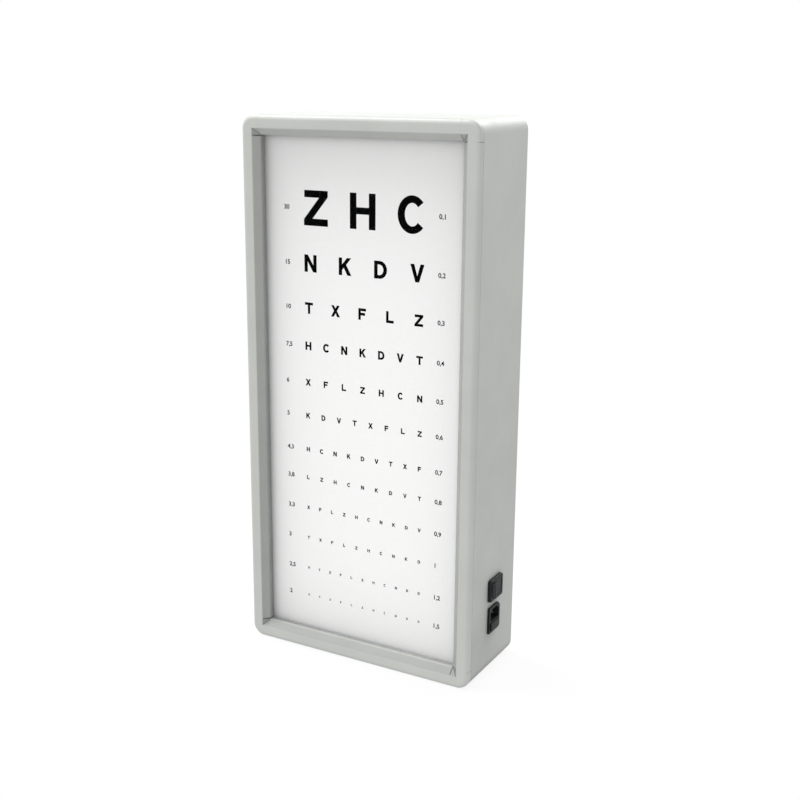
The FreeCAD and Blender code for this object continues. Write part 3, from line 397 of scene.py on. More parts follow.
# Bare metal: the cell of its stains and the depth of its lines in millimetres, the tones of both, and how
# strongly and where in their noise the lines show
STAIN_CELL = 18
STAIN_TONES = (0.86, 1.05)
LINE_TONE = 0.75
LINE_STRENGTH = 0.35
LINES_SHOW = (0.4, 0.8)
LINE_DEPTH = 0.006


def metal(name, colour, gloss, stretch, line=0.4):
    """Bare metal: lines along its length in the gloss and the relief, and faint stains in the colour."""
    material, tree, shader = finish(name, Metallic=1.0)
    lines = noise(tree, line, 3, stretch)
    stain = noise(tree, STAIN_CELL, 4)
    tone = mixed(tree, ranged(tree, stain, 0, 1), *[shaded(colour, factor) for factor in STAIN_TONES])
    tone = mixed(tree, ranged(tree, lines, 0, LINE_STRENGTH, *LINES_SHOW), tone, shaded(colour, LINE_TONE))
    tree.links.new(tone, shader.inputs["Base Color"])
    tree.links.new(ranged(tree, lines, gloss[0], gloss[1]), shader.inputs["Roughness"])
    relief(tree, shader, [(lines, LINE_DEPTH)])
    return material


def clear_sheet():
    """Clear plastic with an anti-glare face: nearly all see-through, with a fine grain that spreads its
    gloss."""
    material, tree, shader = finish("clear anti-glare sheet", IOR=1.49, Alpha=0.012)
    haze = noise(tree, 30, 2)
    tone = mixed(tree, ranged(tree, haze, 0, 1), (0.10, 0.11, 0.11, 1), (0.14, 0.15, 0.15, 1))
    tree.links.new(tone, shader.inputs["Base Color"])
    grain = noise(tree, 0.35, 2)
    tree.links.new(ranged(tree, grain, 0.18, 0.3), shader.inputs["Roughness"])
    relief(tree, shader, [(grain, 0.003)])
    return material


# The light that reaches the chart from behind, and a painted shadow of the frame on the chart: the shares of
# its colour and its backlight taken away towards each edge of the window, with the distance in millimetres
# over which each share fades
BACKLIGHT = 0.148
EDGE_SHADE = {
    "left": ((0.14, 45.0), (0.42, 6.0)),
    "right": ((0.13, 30.0),),
    "top": ((0.28, 130.0), (0.06, 6.0)),
    "bottom": ((0.20, 40.0), (0.22, 5.0)),
}


def painted_window_shade(tree):
    """The painted shadow of the frame on a spot of the chart, 1 where there is none: the product, over the
    shares, of 1 less the share times exp(-distance from the edge of the window / fade)."""
    place = add(tree, "SeparateXYZ", {"Vector": spot(tree)})
    frame_width = (FACE + BEVEL) * MM
    away = {
        "left": maths(tree, "SUBTRACT", place.outputs["X"], case_low.x + frame_width),
        "right": maths(tree, "SUBTRACT", case_high.x - frame_width, place.outputs["X"]),
        "top": maths(tree, "SUBTRACT", case_high.z - frame_width, place.outputs["Z"]),
        "bottom": maths(tree, "SUBTRACT", place.outputs["Z"], case_low.z + frame_width),
    }
    light = 1.0
    for edge, shadow_shares in EDGE_SHADE.items():
        for share, fade in shadow_shares:
            near = maths(tree, "EXPONENT", maths(tree, "DIVIDE", away[edge], -fade * MM))
            light = maths(tree, "MULTIPLY", light, blended(tree, near, 1.0, 1.0 - share))
    return light


def chart_film():
    """White film with a faint fibre cloud and a soft tooth, lit from behind, with a painted shadow of the
    frame towards the edges of the window.
    """
    material, tree, shader = finish("white chart film", Specular_IOR_Level=0.3, Emission_Strength=BACKLIGHT)
    fibre = noise(tree, 1.2, 4, (1, 1, 3))
    tone = mixed(tree, ranged(tree, fibre, 0, 1), (0.905, 0.905, 0.9, 1), (0.945, 0.945, 0.94, 1))
    tone = multiplied(tree, tone, painted_window_shade(tree))
    tree.links.new(tone, shader.inputs["Base Color"])
    tree.links.new(tone, shader.inputs["Emission Color"])
    tree.links.new(ranged(tree, fibre, 0.55, 0.7), shader.inputs["Roughness"])
    relief(tree, shader, [(fibre, 0.004)])
    return material


def chart_ink():
    """Black printing ink with a slight mottle."""
    material, tree, shader = finish("black chart ink", Specular_IOR_Level=0.0)
    mottle = noise(tree, 0.8, 3)
    tone = mixed(tree, ranged(tree, mottle, 0, 1), (0.0002, 0.0002, 0.0002, 1), (0.0006, 0.0006, 0.0006, 1))
    tree.links.new(tone, shader.inputs["Base Color"])
    tree.links.new(ranged(tree, mottle, 0.7, 0.85), shader.inputs["Roughness"])
    return material


# How far in millimetres a lamp is greyed from its ends, and where a fuse's caps begin and are whole
GREYED_END = 35.0
FUSE_CAP = (5.2, 5.0)


def phosphor_glass():
    """A lamp's glass: white powder inside a glossy tube, greyed towards both caps."""
    material, tree, shader = finish("phosphor-coated glass", Coat_Weight=0.6, Coat_Roughness=0.05)
    low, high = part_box("lamp_left_glass")
    half = (high.z - low.z) / 2
    end = ranged(tree, from_middle(tree, "Z", low.z, high.z), 0, 1, half - GREYED_END * MM, half)
    powder = noise(tree, 2.5, 3)
    tone = mixed(tree, ranged(tree, powder, 0, 1), (0.86, 0.87, 0.86, 1), (0.92, 0.93, 0.92, 1))
    tone = mixed(tree, end, tone, (0.42, 0.42, 0.4, 1))
    tree.links.new(tone, shader.inputs["Base Color"])
    tree.links.new(ranged(tree, powder, 0.3, 0.42), shader.inputs["Roughness"])
    return material


def fuse_tube():
    """A fuse: a white ceramic tube with a bright metal cap on each end."""
    material, tree, shader = finish("capped ceramic fuse")
    low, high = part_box("fuses")
    half = (high.x - low.x) / 2
    away = from_middle(tree, "X", low.x, high.x)
    cap = ranged(tree, away, 0, 1, half - FUSE_CAP[0] * MM, half - FUSE_CAP[1] * MM)
    mottle = noise(tree, 0.7, 3)
    tone = mixed(tree, ranged(tree, mottle, 0, 1), (0.78, 0.76, 0.72, 1), (0.86, 0.84, 0.8, 1))
    tree.links.new(mixed(tree, cap, tone, (0.68, 0.67, 0.64, 1)), shader.inputs["Base Color"])
    tree.links.new(cap, shader.inputs["Metallic"])
    tree.links.new(ranged(tree, mottle, 0.28, 0.4), shader.inputs["Roughness"])
    return material


def earth_wire():
    """Insulation in green and yellow stripes that run at a slant."""
    material, tree, shader = finish("green and yellow insulation")
    place = add(tree, "Mapping", {"Vector": spot(tree), "Rotation": (0.6, 0.5, 0.4)})
    wave = {"Vector": place.outputs[0], "Scale": 90.0, "Distortion": 0.3}
    band = ranged(tree, add(tree, "TexWave", wave).outputs["Fac"], 0, 1, 0.45, 0.55)
    tone = mixed(tree, band, (0.05, 0.25, 0.06, 1), (0.72, 0.58, 0.05, 1))
    tree.links.new(tone, shader.inputs["Base Color"])
    scuff = noise(tree, 2.0, 3)
    tree.links.new(ranged(tree, scuff, 0.38, 0.55), shader.inputs["Roughness"])
    return material


# Colours, the tones of painted shade on the slopes on the side, top and bottom and in the valley, and how the
# lines in metal stretch along x, y and z
GREY = (0.553, 0.566, 0.540)
BLACK = (0.012, 0.013, 0.014)
CHARCOAL = (0.026, 0.030, 0.034)
ALUMINIUM = (0.72, 0.72, 0.73)
RAIL_SLOPE_SHADE = (0.68, 0.92, 0.70, 1.0)
CORNER_SLOPE_SHADE = (0.56, 0.78, 0.66, 0.6)
UPRIGHT = (1, 1, 60)
LEVEL = (60, 1, 1)
ROUND = (1, 1, 0.1)
EVEN = (1, 1, 1)

finishes = {
    # The rails and the corners wear painted light and shade on their face, slope, lip and valley
    "rail_paint": coated("satin grey paint on rails", GREY, (0.36, 0.46), 2.2, 0.5, dust_and_shade=0,
                         shade=lambda tree: painted_frame_shade(tree, *RAIL_SLOPE_SHADE)),
    # Case: painted shade low near the front; dust and painted shade reach far round the switch and the inlet
    "case_paint": coated("fine-textured grey paint on case", shaded(GREY, 0.99), (0.44, 0.56), 1.4, 0.45,
                         dust_and_shade=0.75, reach=22, open_from=1.0, shade=low_shade,
                         peel_depth=0.03, grain_depth=0.02),
    "panel_paint": coated("grey paint on back panel", shaded(GREY, 0.92), (0.44, 0.56), 1.4, 0.45),
    "corner_plastic": coated("grey moulded corner plastic", GREY, (0.42, 0.54), 1.1, 0.35,
                             dust_and_shade=0, peel_depth=0.012, grain_depth=0.012,
                             shade=lambda tree: painted_frame_shade(tree, *CORNER_SLOPE_SHADE)),
    "grey_rubber": coated("grey soft rubber", (0.28, 0.285, 0.28), (0.6, 0.75), 1.6, 0.4,
                          clouds=0.08, dust_and_shade=0.1),
    "mill_aluminium": metal("mill aluminium", ALUMINIUM, (0.26, 0.42), UPRIGHT),
    "zinc_steel": metal("bright zinc plate", (0.66, 0.67, 0.69), (0.22, 0.38), EVEN, line=0.8),
    "clear_sheet": clear_sheet(),
    "chart_film": chart_film(),
    "opal_sheet": coated("opal plastic sheet", (0.88, 0.88, 0.87), (0.2, 0.3), 9, 1.5, clouds=0.015, dust_and_shade=0),
    "white_paint": coated("white reflector paint", (0.82, 0.82, 0.81), (0.3, 0.42), 2.0, 0.5, clouds=0.02),
    "lamp_glass": phosphor_glass(),
    "cap_aluminium": metal("pressed cap aluminium", (0.75, 0.75, 0.76), (0.24, 0.4), ROUND),
    "brass": metal("plain brass", (0.76, 0.6, 0.32), (0.22, 0.38), EVEN, line=0.7),
    "nickel_plate": metal("dull nickel plate", (0.36, 0.35, 0.33), (0.34, 0.5), EVEN, line=0.7),
    "white_plastic": coated("white moulded plastic", (0.8, 0.8, 0.78), (0.36, 0.5), 1.2, 0.3, clouds=0.02),
    "ballast_paint": coated("pale steel ballast case", (0.64, 0.65, 0.66), (0.3, 0.42), 2.4, 0.5),
    "cream_plastic": coated("cream moulded plastic", (0.78, 0.72, 0.58), (0.36, 0.5), 1.2, 0.3),
    "black_plastic": coated("black moulded plastic", BLACK, (0.34, 0.5), 0.9, 0.25, clouds=0.12,
                            peel_depth=0.012, grain_depth=0.016, shine=0.22),
    "rocker_plastic": coated("charcoal rocker plastic", CHARCOAL, (0.36, 0.5), 0.9, 0.25, clouds=0.1,
                             peel_depth=0.012, grain_depth=0.016, shine=0.4),
    "fuse_ceramic": fuse_tube(),
    "brown_wire": coated("brown insulation", (0.2, 0.1, 0.05), (0.36, 0.5), 3, 0.6, clouds=0.08, dust_and_shade=0),
    "blue_wire": coated("blue insulation", (0.06, 0.16, 0.45), (0.36, 0.5), 3, 0.6, clouds=0.08, dust_and_shade=0),
    "green_wire": earth_wire(),
    "grey_wire": coated("grey lead sheath", (0.5, 0.5, 0.49), (0.4, 0.55), 3, 0.6, clouds=0.06, dust_and_shade=0),
}
level_aluminium = metal("mill aluminium, level", ALUMINIUM, (0.26, 0.42), LEVEL)
# The level strips wear a lighter copy of the grey rubber: painted light on the same rubber as the upright
# strips
lit_level_rubber = coated("grey soft rubber painted lighter", (0.38, 0.385, 0.38), (0.6, 0.75), 1.6, 0.4,
                     clouds=0.08, dust_and_shade=0.1)
ink = chart_ink()

for node, item in nodes.items():
    item.data.materials.clear()
    item.data.materials.append(finishes[slot_of[node]])
for side in ("top", "bottom"):
    nodes["base_rail_" + side].data.materials[0] = level_aluminium
    nodes["pressing_strip_" + side].data.materials[0] = lit_level_rubber


# The snap rails and the corner pieces between them

LEFT_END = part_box("corner_top_left")[1].x
RIGHT_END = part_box("corner_top_right")[0].x
LOW_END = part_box("corner_bottom_left")[1].z
HIGH_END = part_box("corner_top_left")[0].z
RAIL_RINGS = 9


def rail_section():
    """The outline of a rail: round the nose, over the face, down the bevel and the lip, back along the
    inside, down the web, round the claw that turns on the bead, and up again to the tucked end of the
    nose."""
    hub = (NOSE, NOSE)
    width = FACE + BEVEL
    inset = SKIN * (math.sqrt(2) - 1)
    foot = BEVEL + LIP
    web = SKIN / 2
    on_claw = math.degrees(math.asin(web / CLAW_OUTER))
    on_nose = math.degrees(math.asin(web / (NOSE - SKIN)))
    tuck = 180 - NOSE_TUCK
    return np.vstack([
        arc(hub, NOSE, tuck, 270, 40),
        eased((NOSE, 0), (FACE, 0), (width, BEVEL), 2 * EDGE_EASE),
        eased((FACE, 0), (width, BEVEL), (width, foot), LIP_EASE),
        eased((width, BEVEL), (width, foot), (width - SKIN, foot), EDGE_EASE),
        eased((width, foot), (width - SKIN, foot), (width - SKIN, BEVEL), EDGE_EASE / 2),
        [(width - SKIN, BEVEL + inset), (FACE - inset, SKIN), (NOSE + web, SKIN)],
        arc(hub, CLAW_OUTER, 270 + on_claw, CLAW_END, 16),
        arc(hub, CLAW_INNER, CLAW_END, CLAW_START, 32),
        arc(hub, CLAW_OUTER, CLAW_START, 270 - on_claw, 18),
        arc(hub, NOSE - SKIN, 270 - on_nose, tuck, 30),
    ]) * MM


def on_side(side):
    """The place of a side: u in from it, v back from the front and w along it, as x, y, z."""
    return {
        "left": lambda u, v, w: np.column_stack([case_low.x + u, FRONT + v, w]),
        "right": lambda u, v, w: np.column_stack([case_high.x - u, FRONT + v, w]),
        "top": lambda u, v, w: np.column_stack([w, FRONT + v, case_high.z - u]),
        "bottom": lambda u, v, w: np.column_stack([w, FRONT + v, case_low.z + u]),
    }[side]


def snap_rail(side):
    """The section carried from corner to corner, with the slope and the lip cut back a little at both ends,
    and the nose by a hair that grows towards the side of the box."""
    section = rail_section()
    upright = side in ("left", "right")
    ends = (LOW_END, HIGH_END) if upright else (LEFT_END, RIGHT_END)
    cuts = UPRIGHT_CUTS if upright else LEVEL_CUTS
    aside = section[:, 0] / MM
    gap = END_GAP + NOSE_CUT * np.clip(1 - aside / NOSE_CUT_REACH, 0, 1)
    sloped = aside > FACE + EDGE_EASE
    first = ends[0] + (gap + cuts[0] * sloped) * MM
    last = ends[1] - (gap + cuts[1] * sloped) * MM
    stations = first + np.linspace(0, 1, RAIL_RINGS)[:, None] * (last - first)
    rail = carried(side + "_rail", section, stations, on_side(side))
    dress(rail, "rail_" + side, finishes["rail_paint"], "rail_paint", "snap_rail_" + side)


for side in ("left", "right", "top", "bottom"):
    snap_rail(side)
for end, level in (("top", HIGH_END), ("bottom", LOW_END)):
    for side, across in (("left", LEFT_END), ("right", RIGHT_END)):
        node = "corner_%s_%s" % (end, side)
        meets = [(0, across, MATE_EASE), (2, level, MATE_EASE)]
        piece = eased_copy("%s_%s_corner" % (end, side), node, EDGE_EASE, meets)
        dress(piece, "light_box", finishes["corner_plastic"], "corner_plastic", node)


# A thin seal on the case, round each nose, which closes the joint between the rail and the case

# Radii and gaps in millimetres, and where the seal starts and ends in degrees round the hinge
SEAL_INNER = 6.05
SEAL_OUTER = 6.26
SEAL_START = 20.0
SEAL_END = 50.0
SEAL_SINK = 0.1
SEAL_AIR = 0.06
SEAL_RINGS = 5


def nose_seal(side):
    """A band between two arcs round the rail's hinge, with a wedge that fills the joint up to the edge of the
    case, carried along the rail."""
    hub = (NOSE, NOSE)
    ends = (LOW_END, HIGH_END) if side in ("left", "right") else (LEFT_END, RIGHT_END)
    back = (case_low.y - FRONT) / MM - SEAL_AIR
    root = math.degrees(math.asin((back - NOSE) / SEAL_OUTER))
    outline = np.vstack([
        arc(hub, SEAL_INNER, 180 - SEAL_END, 180 - SEAL_START, 18),
        [(SEAL_SINK, back)],
        arc(hub, SEAL_OUTER, 180 - root, 180 - SEAL_END, 18),
    ]) * MM
    gap = (END_GAP + NOSE_CUT) * MM
    stations = np.linspace(ends[0] + gap, ends[1] - gap, SEAL_RINGS)
    seal = carried("nose_seal_" + side, outline, stations, on_side(side))
    dress(seal, "light_box", finishes["rail_paint"], "rail_paint")


for side in ("left", "right", "top", "bottom"):
    nose_seal(side)


# The case, the inlet and its drawer, with their edges eased

for name, node, body, slot, ease, planes in (
    ("case_band", "housing", "light_box", "case_paint", 0.2, [(1, case_low.y, CASE_EDGE)]),
    ("inlet_frame", "inlet_body", "light_box", "black_plastic", 0.7, []),
    ("drawer", "fuse_drawer", "fuse_tray", "black_plastic", 0.5, []),
):
    dress(eased_copy(name, node, ease, planes), body, finishes[slot], slot, node)


# The switch: a rounded block with a mouth for its ribbed rocker

# Lengths in millimetres, and the angle in degrees above which the rocker's edges are eased
SWITCH_BARREL = (28.6, 22.0)
SWITCH_MOUTH = (27.4, 19.2)
SWITCH_SINK = 10.0
SWITCH_CORNER = 3.2
BARREL_CORNER = 1.0
MOUTH_CORNER = 0.6
RIM_EASE = 1.5
MOUTH_EASE = 0.8
ROCKER_RADIUS = 13.4
ROCKER_VALLEY = 3.0
ROCKER_BELLY = 4.0
ROCKER_TILT = math.radians(11)
ROCKER_EASE = 0.6
ROCKER_CORNER_ANGLE = 60
RIB_PITCH = 1.5
RIB_DEPTH = 0.2
RIB_POINTS = 181
PIN_RADIUS = 1.5
PIN_PROUD = 1.0
PIN_SIDES = 24


def switch_frame():
    """Rounded rectangles in a row, each with its half sizes, corner and depth: out along the barrel behind
    the wall, round the rim, over its rounded edge to the mouth, and down to the floor of the hollow."""
    low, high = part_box("switch_body")
    middle = (low + high) / 2
    wall, face = case_high.x / MM, high.x / MM
    length, height = (high.y - low.y) / 2 / MM, (high.z - low.z) / 2 / MM
    barrel = [size / 2 for size in SWITCH_BARREL]
    mouth = [size / 2 for size in SWITCH_MOUTH]
    rows = [
        (*barrel, BARREL_CORNER, low.x / MM),
        (*barrel, BARREL_CORNER, wall),
        (length, height, SWITCH_CORNER, wall),
    ]
    for turn in np.radians(np.linspace(0, 90, 7)):
        inset = RIM_EASE * (1 - math.cos(turn))
        depth = face - RIM_EASE * (1 - math.sin(turn))
        rows.append((length - inset, height - inset, SWITCH_CORNER - inset, depth))
    for turn in np.radians(np.linspace(90, 0, 5)):
        widen = MOUTH_EASE * (1 - math.cos(turn))
        depth = face - MOUTH_EASE * (1 - math.sin(turn))
        rows.append((mouth[0] + widen, mouth[1] + widen, MOUTH_CORNER + widen, depth))
    rows.append((*mouth, MOUTH_CORNER, face - SWITCH_SINK))
    outlines = np.array([rounded_rectangle(*row[:3]) for row in rows]) * MM
    depths = np.array([row[3] for row in rows]) * MM
    piece = carried("switch_frame", outlines, depths,
                    lambda u, v, w: np.column_stack([w, middle.y + u, middle.z + v]))
    dress(piece, "light_box", finishes["black_plastic"], "black_plastic", "switch_body")


def rocker_section():
    """A slice of a drum whose face is two slopes down to a shallow valley, with a cosine ripple for its ribs,
    turned by the tilt about the pivot."""
    steep = math.tan(ROCKER_TILT)
    grow = 1 + steep ** 2
    reach = math.sqrt((ROCKER_VALLEY * steep) ** 2 + grow * (ROCKER_RADIUS ** 2 - ROCKER_VALLEY ** 2))
    reach = (reach - ROCKER_VALLEY * steep) / grow
    brow = math.degrees(math.atan2(reach, ROCKER_VALLEY + reach * steep))
    foot = math.degrees(math.acos(-ROCKER_BELLY / ROCKER_RADIUS))
    across = np.linspace(-reach, reach, RIB_POINTS)[1:-1]
    ripple = 0.5 - 0.5 * np.cos(2 * np.pi * across / RIB_PITCH)
    ripple = ripple * np.clip((reach - np.abs(across)) / RIB_PITCH - 0.5, 0, 1)
    face = np.column_stack([ROCKER_VALLEY + np.abs(across) * steep - RIB_DEPTH * ripple, across])
    near = arc((0, 0), ROCKER_RADIUS, -foot, -brow, 12)
    far = arc((0, 0), ROCKER_RADIUS, brow, foot, 12)
    cosine, sine = math.cos(ROCKER_TILT), math.sin(ROCKER_TILT)
    return np.vstack([near, face, far]) @ np.array([[cosine, sine], [-sine, cosine]]) * MM


def rocker_key():
    """The rocker's section carried along its pivot, and a round pin on the pivot that stands out of both
    ends."""
    joints = frame["record"]["behaviour"]["joints"]
    pivot = [joint["pos_m"] for joint in joints if joint["child"] == "rocker"][0]
    pin_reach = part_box("rocker")[1].z - pivot[2]
    half = pin_reach - PIN_PROUD * MM

    def place(u, v, w):
        """The place of a point: u out of and v along the side of the box from the pivot, and w along it."""
        return np.column_stack([pivot[0] + u, pivot[1] + v, pivot[2] + w])

    key = carried("rocker_key", rocker_section(), np.array([-half, half]), place)
    round_edges(key, ROCKER_EASE, limit=ROCKER_CORNER_ANGLE)
    dress(key, "rocker", finishes["rocker_plastic"], "black_plastic", "rocker")
    ring = arc((0, 0), PIN_RADIUS * MM, 0, 360 - 360 / PIN_SIDES, PIN_SIDES)
    pin = carried("rocker_pin", ring, np.array([-pin_reach, pin_reach]), place)
    dress(pin, "rocker", finishes["rocker_plastic"], "black_plastic")


switch_frame()
rocker_key()


# The clear cover, a hair thinner than its solid so that the print has air in front of it

# Lengths in millimetres
COVER_AIR = 0.1
COVER_CORNER = 2.0


def cover_sheet():
    """A rectangle with rounded corners, carried from the front of the cover to just before the chart."""
    low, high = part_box("clear_cover")
    corners = [(low.x, low.z), (high.x, low.z), (high.x, high.z), (low.x, high.z)]
    outline = np.vstack([
        eased(corners[turn - 1], corners[turn], corners[(turn + 1) % 4], COVER_CORNER * MM)
        for turn in range(4)
    ])
    depths = np.array([low.y, high.y - COVER_AIR * MM])
    piece = carried("cover_sheet", outline, depths, lambda u, v, w: np.column_stack([u, w, v]))
    dress(piece, "light_box", finishes["clear_sheet"], "clear_sheet", "clear_cover")


cover_sheet()


# The print on the chart: letters five strokes tall, and plain numbers beside them

# The straight letters as outlines, in strokes from the lower left corner
LETTERS = {
    "F": [(0, 0), (1, 0), (1, 2), (3.2, 2), (3.2, 3), (1, 3), (1, 4), (3.7, 4), (3.7, 5), (0, 5)],
    "H": [(0, 0), (1, 0), (1, 2.1), (3.1, 2.1), (3.1, 0), (4.1, 0), (4.1, 5), (3.1, 5), (3.1, 3), (1, 3),
          (1, 5), (0, 5)],
    "K": [(0, 0), (1, 0), (1, 1.5), (1.65, 2.25), (2.9, 0), (4.1, 0), (2.35, 3.05), (4, 5), (2.75, 5),
          (1, 2.9), (1, 5), (0, 5)],
    "L": [(0, 0), (3.6, 0), (3.6, 1), (1, 1), (1, 5), (0, 5)],
    "N": [(0, 0), (1, 0), (1, 3.3), (3, 0), (4.1, 0), (4.1, 5), (3.1, 5), (3.1, 1.7), (1.1, 5), (0, 5)],
    "T": [(1.55, 0), (2.55, 0), (2.55, 4.05), (4.1, 4.05), (4.1, 5), (0, 5), (0, 4.05), (1.55, 4.05)],
    "V": [(1.5, 0), (2.6, 0), (4.2, 5), (3.1, 5), (2.05, 1.4), (1, 5), (-0.1, 5)],
    "X": [(-0.1, 0), (1.1, 0), (2.05, 1.75), (3, 0), (4.2, 0), (2.7, 2.6), (4.1, 5), (2.9, 5), (2.05, 3.5),
          (1.2, 5), (0, 5), (1.4, 2.6)],
    "Z": [(0, 0), (4, 0), (4, 0.95), (1.35, 0.95), (4, 4.15), (4, 5), (0.1, 5), (0.1, 4.05), (2.65, 4.05),
          (0, 0.85)],
}
LETTER_STROKES = 5
LETTER_WIDTH = 4.1

# The ellipses of the round letters, in strokes: the middle and the half sizes, and half the mouth of the C in
# degrees
C_MIDDLE = (2.2, 2.5)
C_OUTER = (2.25, 2.6)
C_INNER = (1.2, 1.65)
C_MOUTH = 42
D_OUTER_MIDDLE = (1.75, 2.5)
D_OUTER = (2.35, 2.5)
D_INNER_MIDDLE = (1.65, 2.5)
D_INNER = (1.4, 1.6)

# The rows from the top: the acuity that each tests, how many letters it has and its height on the box in
# millimetres; the chart is read from a distance in metres
LETTER_ORDER = "ZHCNKDVTXFL"
ACUITY = [0.1, 0.2, 0.3, 0.4, 0.5, 0.6, 0.7, 0.8, 0.9, 1, 1.2, 1.5]
ROW_LENGTHS = [3, 4, 5, 7, 7, 8, 9, 9, 10, 10, 11, 11]
ROW_HEIGHTS = [588, 519, 462, 413, 365, 320.5, 275, 236.5, 194.5, 152, 109, 70]
READ_FROM = 3.0

# Sizes in millimetres: the tallest letter, the two sides of the block of letters, the left edges of the two
# columns of numbers, and how far the ink spreads, which is at most a share of the stroke
TOP_LETTER = 43.6
BLOCK = (-83.0, 86.0)
INK_SPREAD = 0.33
SPREAD_SHARE = 0.13
NUMBER_COLUMNS = (-112.5, 105.0)
NUMBER_HEIGHT = 5.6
NUMBER_BOLD = 0.2

# The height of a figure as a share of the font's size, how far in millimetres the ink stands before the
# chart, and the share of that which the ink fills
FIGURE_SHARE = 0.69
INK = 0.05
INK_FILL = 0.9


def round_letter(letter):
    """The lines of a round letter in strokes from its lower left corner: for C one line, out along most of an
    ellipse and back along a smaller one; for D an outer and an inner line, each a half ellipse shut by a
    straight side."""
    if letter == "C":
        outer = arc(C_MIDDLE, C_OUTER, C_MOUTH, 360 - C_MOUTH, 40)
        inner = arc(C_MIDDLE, C_INNER, C_MOUTH, 360 - C_MOUTH, 40)
        return np.vstack([outer, inner[::-1]]), None
    outer = arc(D_OUTER_MIDDLE, D_OUTER, -90, 90, 28)
    inner = arc(D_INNER_MIDDLE, D_INNER, -90, 90, 28)
    lines = []
    for side, line in ((0, outer), (1, inner)):
        lines.append(np.vstack([[(side, line[0, 1])], line, [(side, line[-1, 1])]]))
    return lines


def spread_out(outline, width):
    """A closed outline with each side moved out by the width: a corner goes to where its two moved sides
    meet, by the width times the sum of their outward normals over 1 plus the product of the normals."""
    sides = np.roll(outline, -1, axis=0) - outline
    out = np.column_stack([sides[:, 1], -sides[:, 0]]) / np.linalg.norm(sides, axis=1)[:, None]
    before = np.roll(out, 1, axis=0)
    return outline + width * (before + out) / (1 + (before * out).sum(axis=1, keepdims=True))


def letter_shape(letter, spread):
    """The points of a letter in strokes, grown by the spread of its ink, and its faces: one for an outline, a
    ring of them where it has a hole."""
    if letter in LETTERS:
        outer, inner = np.array(LETTERS[letter], float), None
    else:
        outer, inner = round_letter(letter)
    outer = spread_out(outer, spread)
    count = len(outer)
    if inner is None:
        return outer, [list(range(count))]
    first = np.arange(count)
    after = np.roll(first, -1)
    ring = np.column_stack([first, after, after + count, first + count])
    return np.vstack([outer, spread_out(inner, -spread)]), ring.tolist()


def printed(name, shapes):
    """Flat shapes of points (x, z) and faces on the chart, given the thickness of the ink."""
    points, faces, count = [], [], 0
    for shape, shape_faces in shapes:
        points.append(shape)
        faces += [[count + corner for corner in face] for face in shape_faces]
        count += len(shape)
    flat = np.vstack(points) * MM
    placed = np.column_stack([flat[:, 0], np.full(len(flat), CHART_FRONT - INK * MM), flat[:, 1]])
    mesh = bpy.data.meshes.new(name)
    mesh.from_pydata(placed, [], faces)
    piece = bpy.data.objects.new(name, mesh)
    bpy.context.scene.collection.objects.link(piece)
    film = piece.modifiers.new("ink", "SOLIDIFY")
    film.thickness = INK_FILL * INK * MM
    film.offset = -1
    dress(piece, "light_box", ink, "chart_film")


def letter_rows():
    """Rows of letters from edge to edge of the block; a letter's height falls as the acuity of its row
    rises."""
    shapes, turn = [], 0
    for acuity, length, middle in zip(ACUITY, ROW_LENGTHS, ROW_HEIGHTS):
        height = TOP_LETTER * ACUITY[0] / acuity
        spread = min(INK_SPREAD, SPREAD_SHARE * height / LETTER_STROKES)
        stroke = (height - 2 * spread) / LETTER_STROKES
        width = LETTER_WIDTH * stroke + 2 * spread
        for place in range(length):
            points, faces = letter_shape(LETTER_ORDER[turn % len(LETTER_ORDER)], spread / stroke)
            turn += 1
            left = BLOCK[0] + (BLOCK[1] - BLOCK[0] - width) * place / (length - 1)
            shapes.append((points * stroke + (left + spread, middle - height / 2 + spread), faces))
    return shapes


def number_shape(value, left, middle):
    """The points and faces of a plain number, from its left edge and the middle of its height."""
    words = bpy.data.curves.new("number", "FONT")
    words.body = ("%g" % value).replace(".", ",")
    words.size = NUMBER_HEIGHT / FIGURE_SHARE
    words.offset = NUMBER_BOLD
    words.resolution_u = 3
    text = bpy.data.objects.new("number", words)
    mesh = bpy.data.meshes.new_from_object(text)
    points = np.empty(3 * len(mesh.vertices))
    mesh.vertices.foreach_get("co", points)
    flat = points.reshape(-1, 3)[:, :2] + (left, middle - NUMBER_HEIGHT / 2)
    faces = [list(face.vertices) for face in mesh.polygons]
    bpy.data.objects.remove(text)
    bpy.data.curves.remove(words)
    bpy.data.meshes.remove(mesh)
    return flat, faces


def number_rows():
    """Plain numbers beside each row: the distance at which its letters are read on the left, the acuity on
    the right."""
    shapes = []
    for acuity, middle in zip(ACUITY, ROW_HEIGHTS):
        shapes.append(number_shape(round(READ_FROM / acuity, 1), NUMBER_COLUMNS[0], middle))
        shapes.append(number_shape(acuity, NUMBER_COLUMNS[1], middle))
    return shapes


printed("chart_letters", letter_rows())
printed("chart_numbers", number_rows())


# The floor, the light and the camera

# Places and sizes in metres, power in watts, and the lens and its sensor in millimetres
FLOOR_INNER = 0.15
FLOOR_OUTER = 0.95
FLOOR_SHOW = 0.12
FLOOR_SIDES = 96
WORLD_SEEN = 1.0
WORLD_LIGHT = 0.615
MIDDLE = (0, 0, BOX_HEIGHT / 2)
LIGHT_SIDE = 1.8
LIGHTS = {
    "high left light": ((-1.68, 0.0, 3.26), 78),
    "front left light": ((-2.17, -1.60, 2.30), 29),
    "right fill": ((1.58, -2.73, 1.50), 23),
    "back light": ((0.60, 2.50, 2.60), 68),
}
CAMERA_PLACE = (0.7575, -1.3330, 0.7546)
CAMERA_AIM = (-0.49146, 0.83183, -0.25793)
CAMERA_LENS = 55.37
CAMERA_SENSOR = 36
CAMERA_SHIFT = (0.0491, -0.0040)


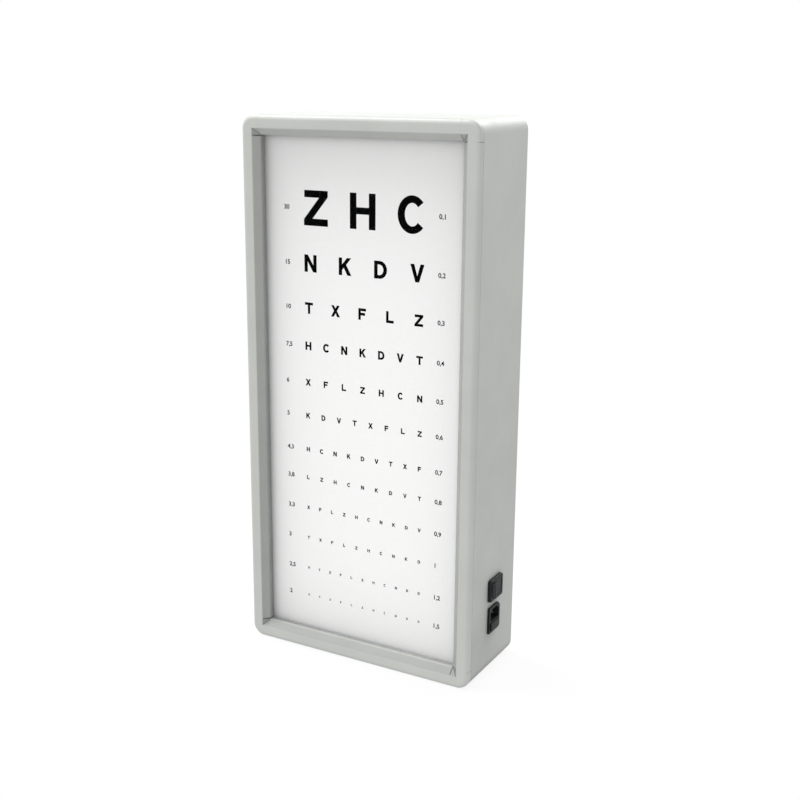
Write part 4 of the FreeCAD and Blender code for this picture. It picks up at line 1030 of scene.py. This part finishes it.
def floor():
    """A pale round floor under the box that fades out into the white around it."""
    ring = arc((0, 0), FLOOR_OUTER, 0, 360 - 360 / FLOOR_SIDES, FLOOR_SIDES)
    points = np.column_stack([ring, np.zeros(FLOOR_SIDES)])
    piece = new_piece("floor", points, [list(range(FLOOR_SIDES))])
    material, tree, shader = finish("pale floor", Roughness=0.9, Specular_IOR_Level=0.1)
    mottle = noise(tree, 40, 3)
    tone = mixed(tree, ranged(tree, mottle, 0, 1), (0.85, 0.85, 0.85, 1), (0.87, 0.87, 0.87, 1))
    tree.links.new(tone, shader.inputs["Base Color"])
    reach = add(tree, "VectorMath", {0: spot(tree)}, operation="LENGTH").outputs["Value"]
    fade = add(tree, "MapRange", {"Value": reach, "From Min": FLOOR_INNER, "From Max": FLOOR_OUTER,
                                  "To Min": FLOOR_SHOW, "To Max": 0.0}, interpolation_type="SMOOTHERSTEP")
    tree.links.new(fade.outputs["Result"], shader.inputs["Alpha"])
    piece.data.materials.append(material)


def turned_to(direction):
    """The turn that makes a lamp or a camera face along a direction."""
    return Vector(direction).to_track_quat("-Z", "Y").to_euler()


def soft_light(name, place, power):
    """A soft square lamp at a place, turned towards the middle of the box."""
    data = bpy.data.lights.new(name, "AREA")
    data.shape = "RECTANGLE"
    data.size = LIGHT_SIDE
    data.size_y = LIGHT_SIDE
    data.energy = power
    lamp = bpy.data.objects.new(name, data)
    lamp.location = place
    lamp.rotation_euler = turned_to(Vector(MIDDLE) - Vector(place))
    lamp.visible_camera = False
    bpy.context.scene.collection.objects.link(lamp)


def surroundings():
    """White all round to the eye, and an even dimmer light on the box."""
    world = bpy.data.worlds.new("white room")
    world.use_nodes = True
    tree = world.node_tree
    back = tree.nodes["Background"]
    back.inputs["Color"].default_value = (1, 1, 1, 1)
    seen = add(tree, "LightPath", {}).outputs["Is Camera Ray"]
    tree.links.new(ranged(tree, seen, WORLD_LIGHT, WORLD_SEEN, 0, 1), back.inputs["Strength"])
    bpy.context.scene.world = world


def camera():
    """The eye of the picture, a little above the box and to its right."""
    eye = bpy.data.cameras.new("camera")
    eye.lens = CAMERA_LENS
    eye.sensor_width = CAMERA_SENSOR
    eye.shift_x, eye.shift_y = CAMERA_SHIFT
    piece = bpy.data.objects.new("camera", eye)
    piece.location = CAMERA_PLACE
    piece.rotation_euler = turned_to(CAMERA_AIM)
    bpy.context.scene.collection.objects.link(piece)
    bpy.context.scene.camera = piece


floor()
surroundings()
for name, (place, power) in LIGHTS.items():
    soft_light(name, place, power)
camera()
bpy.context.scene.view_settings.view_transform = "Standard"
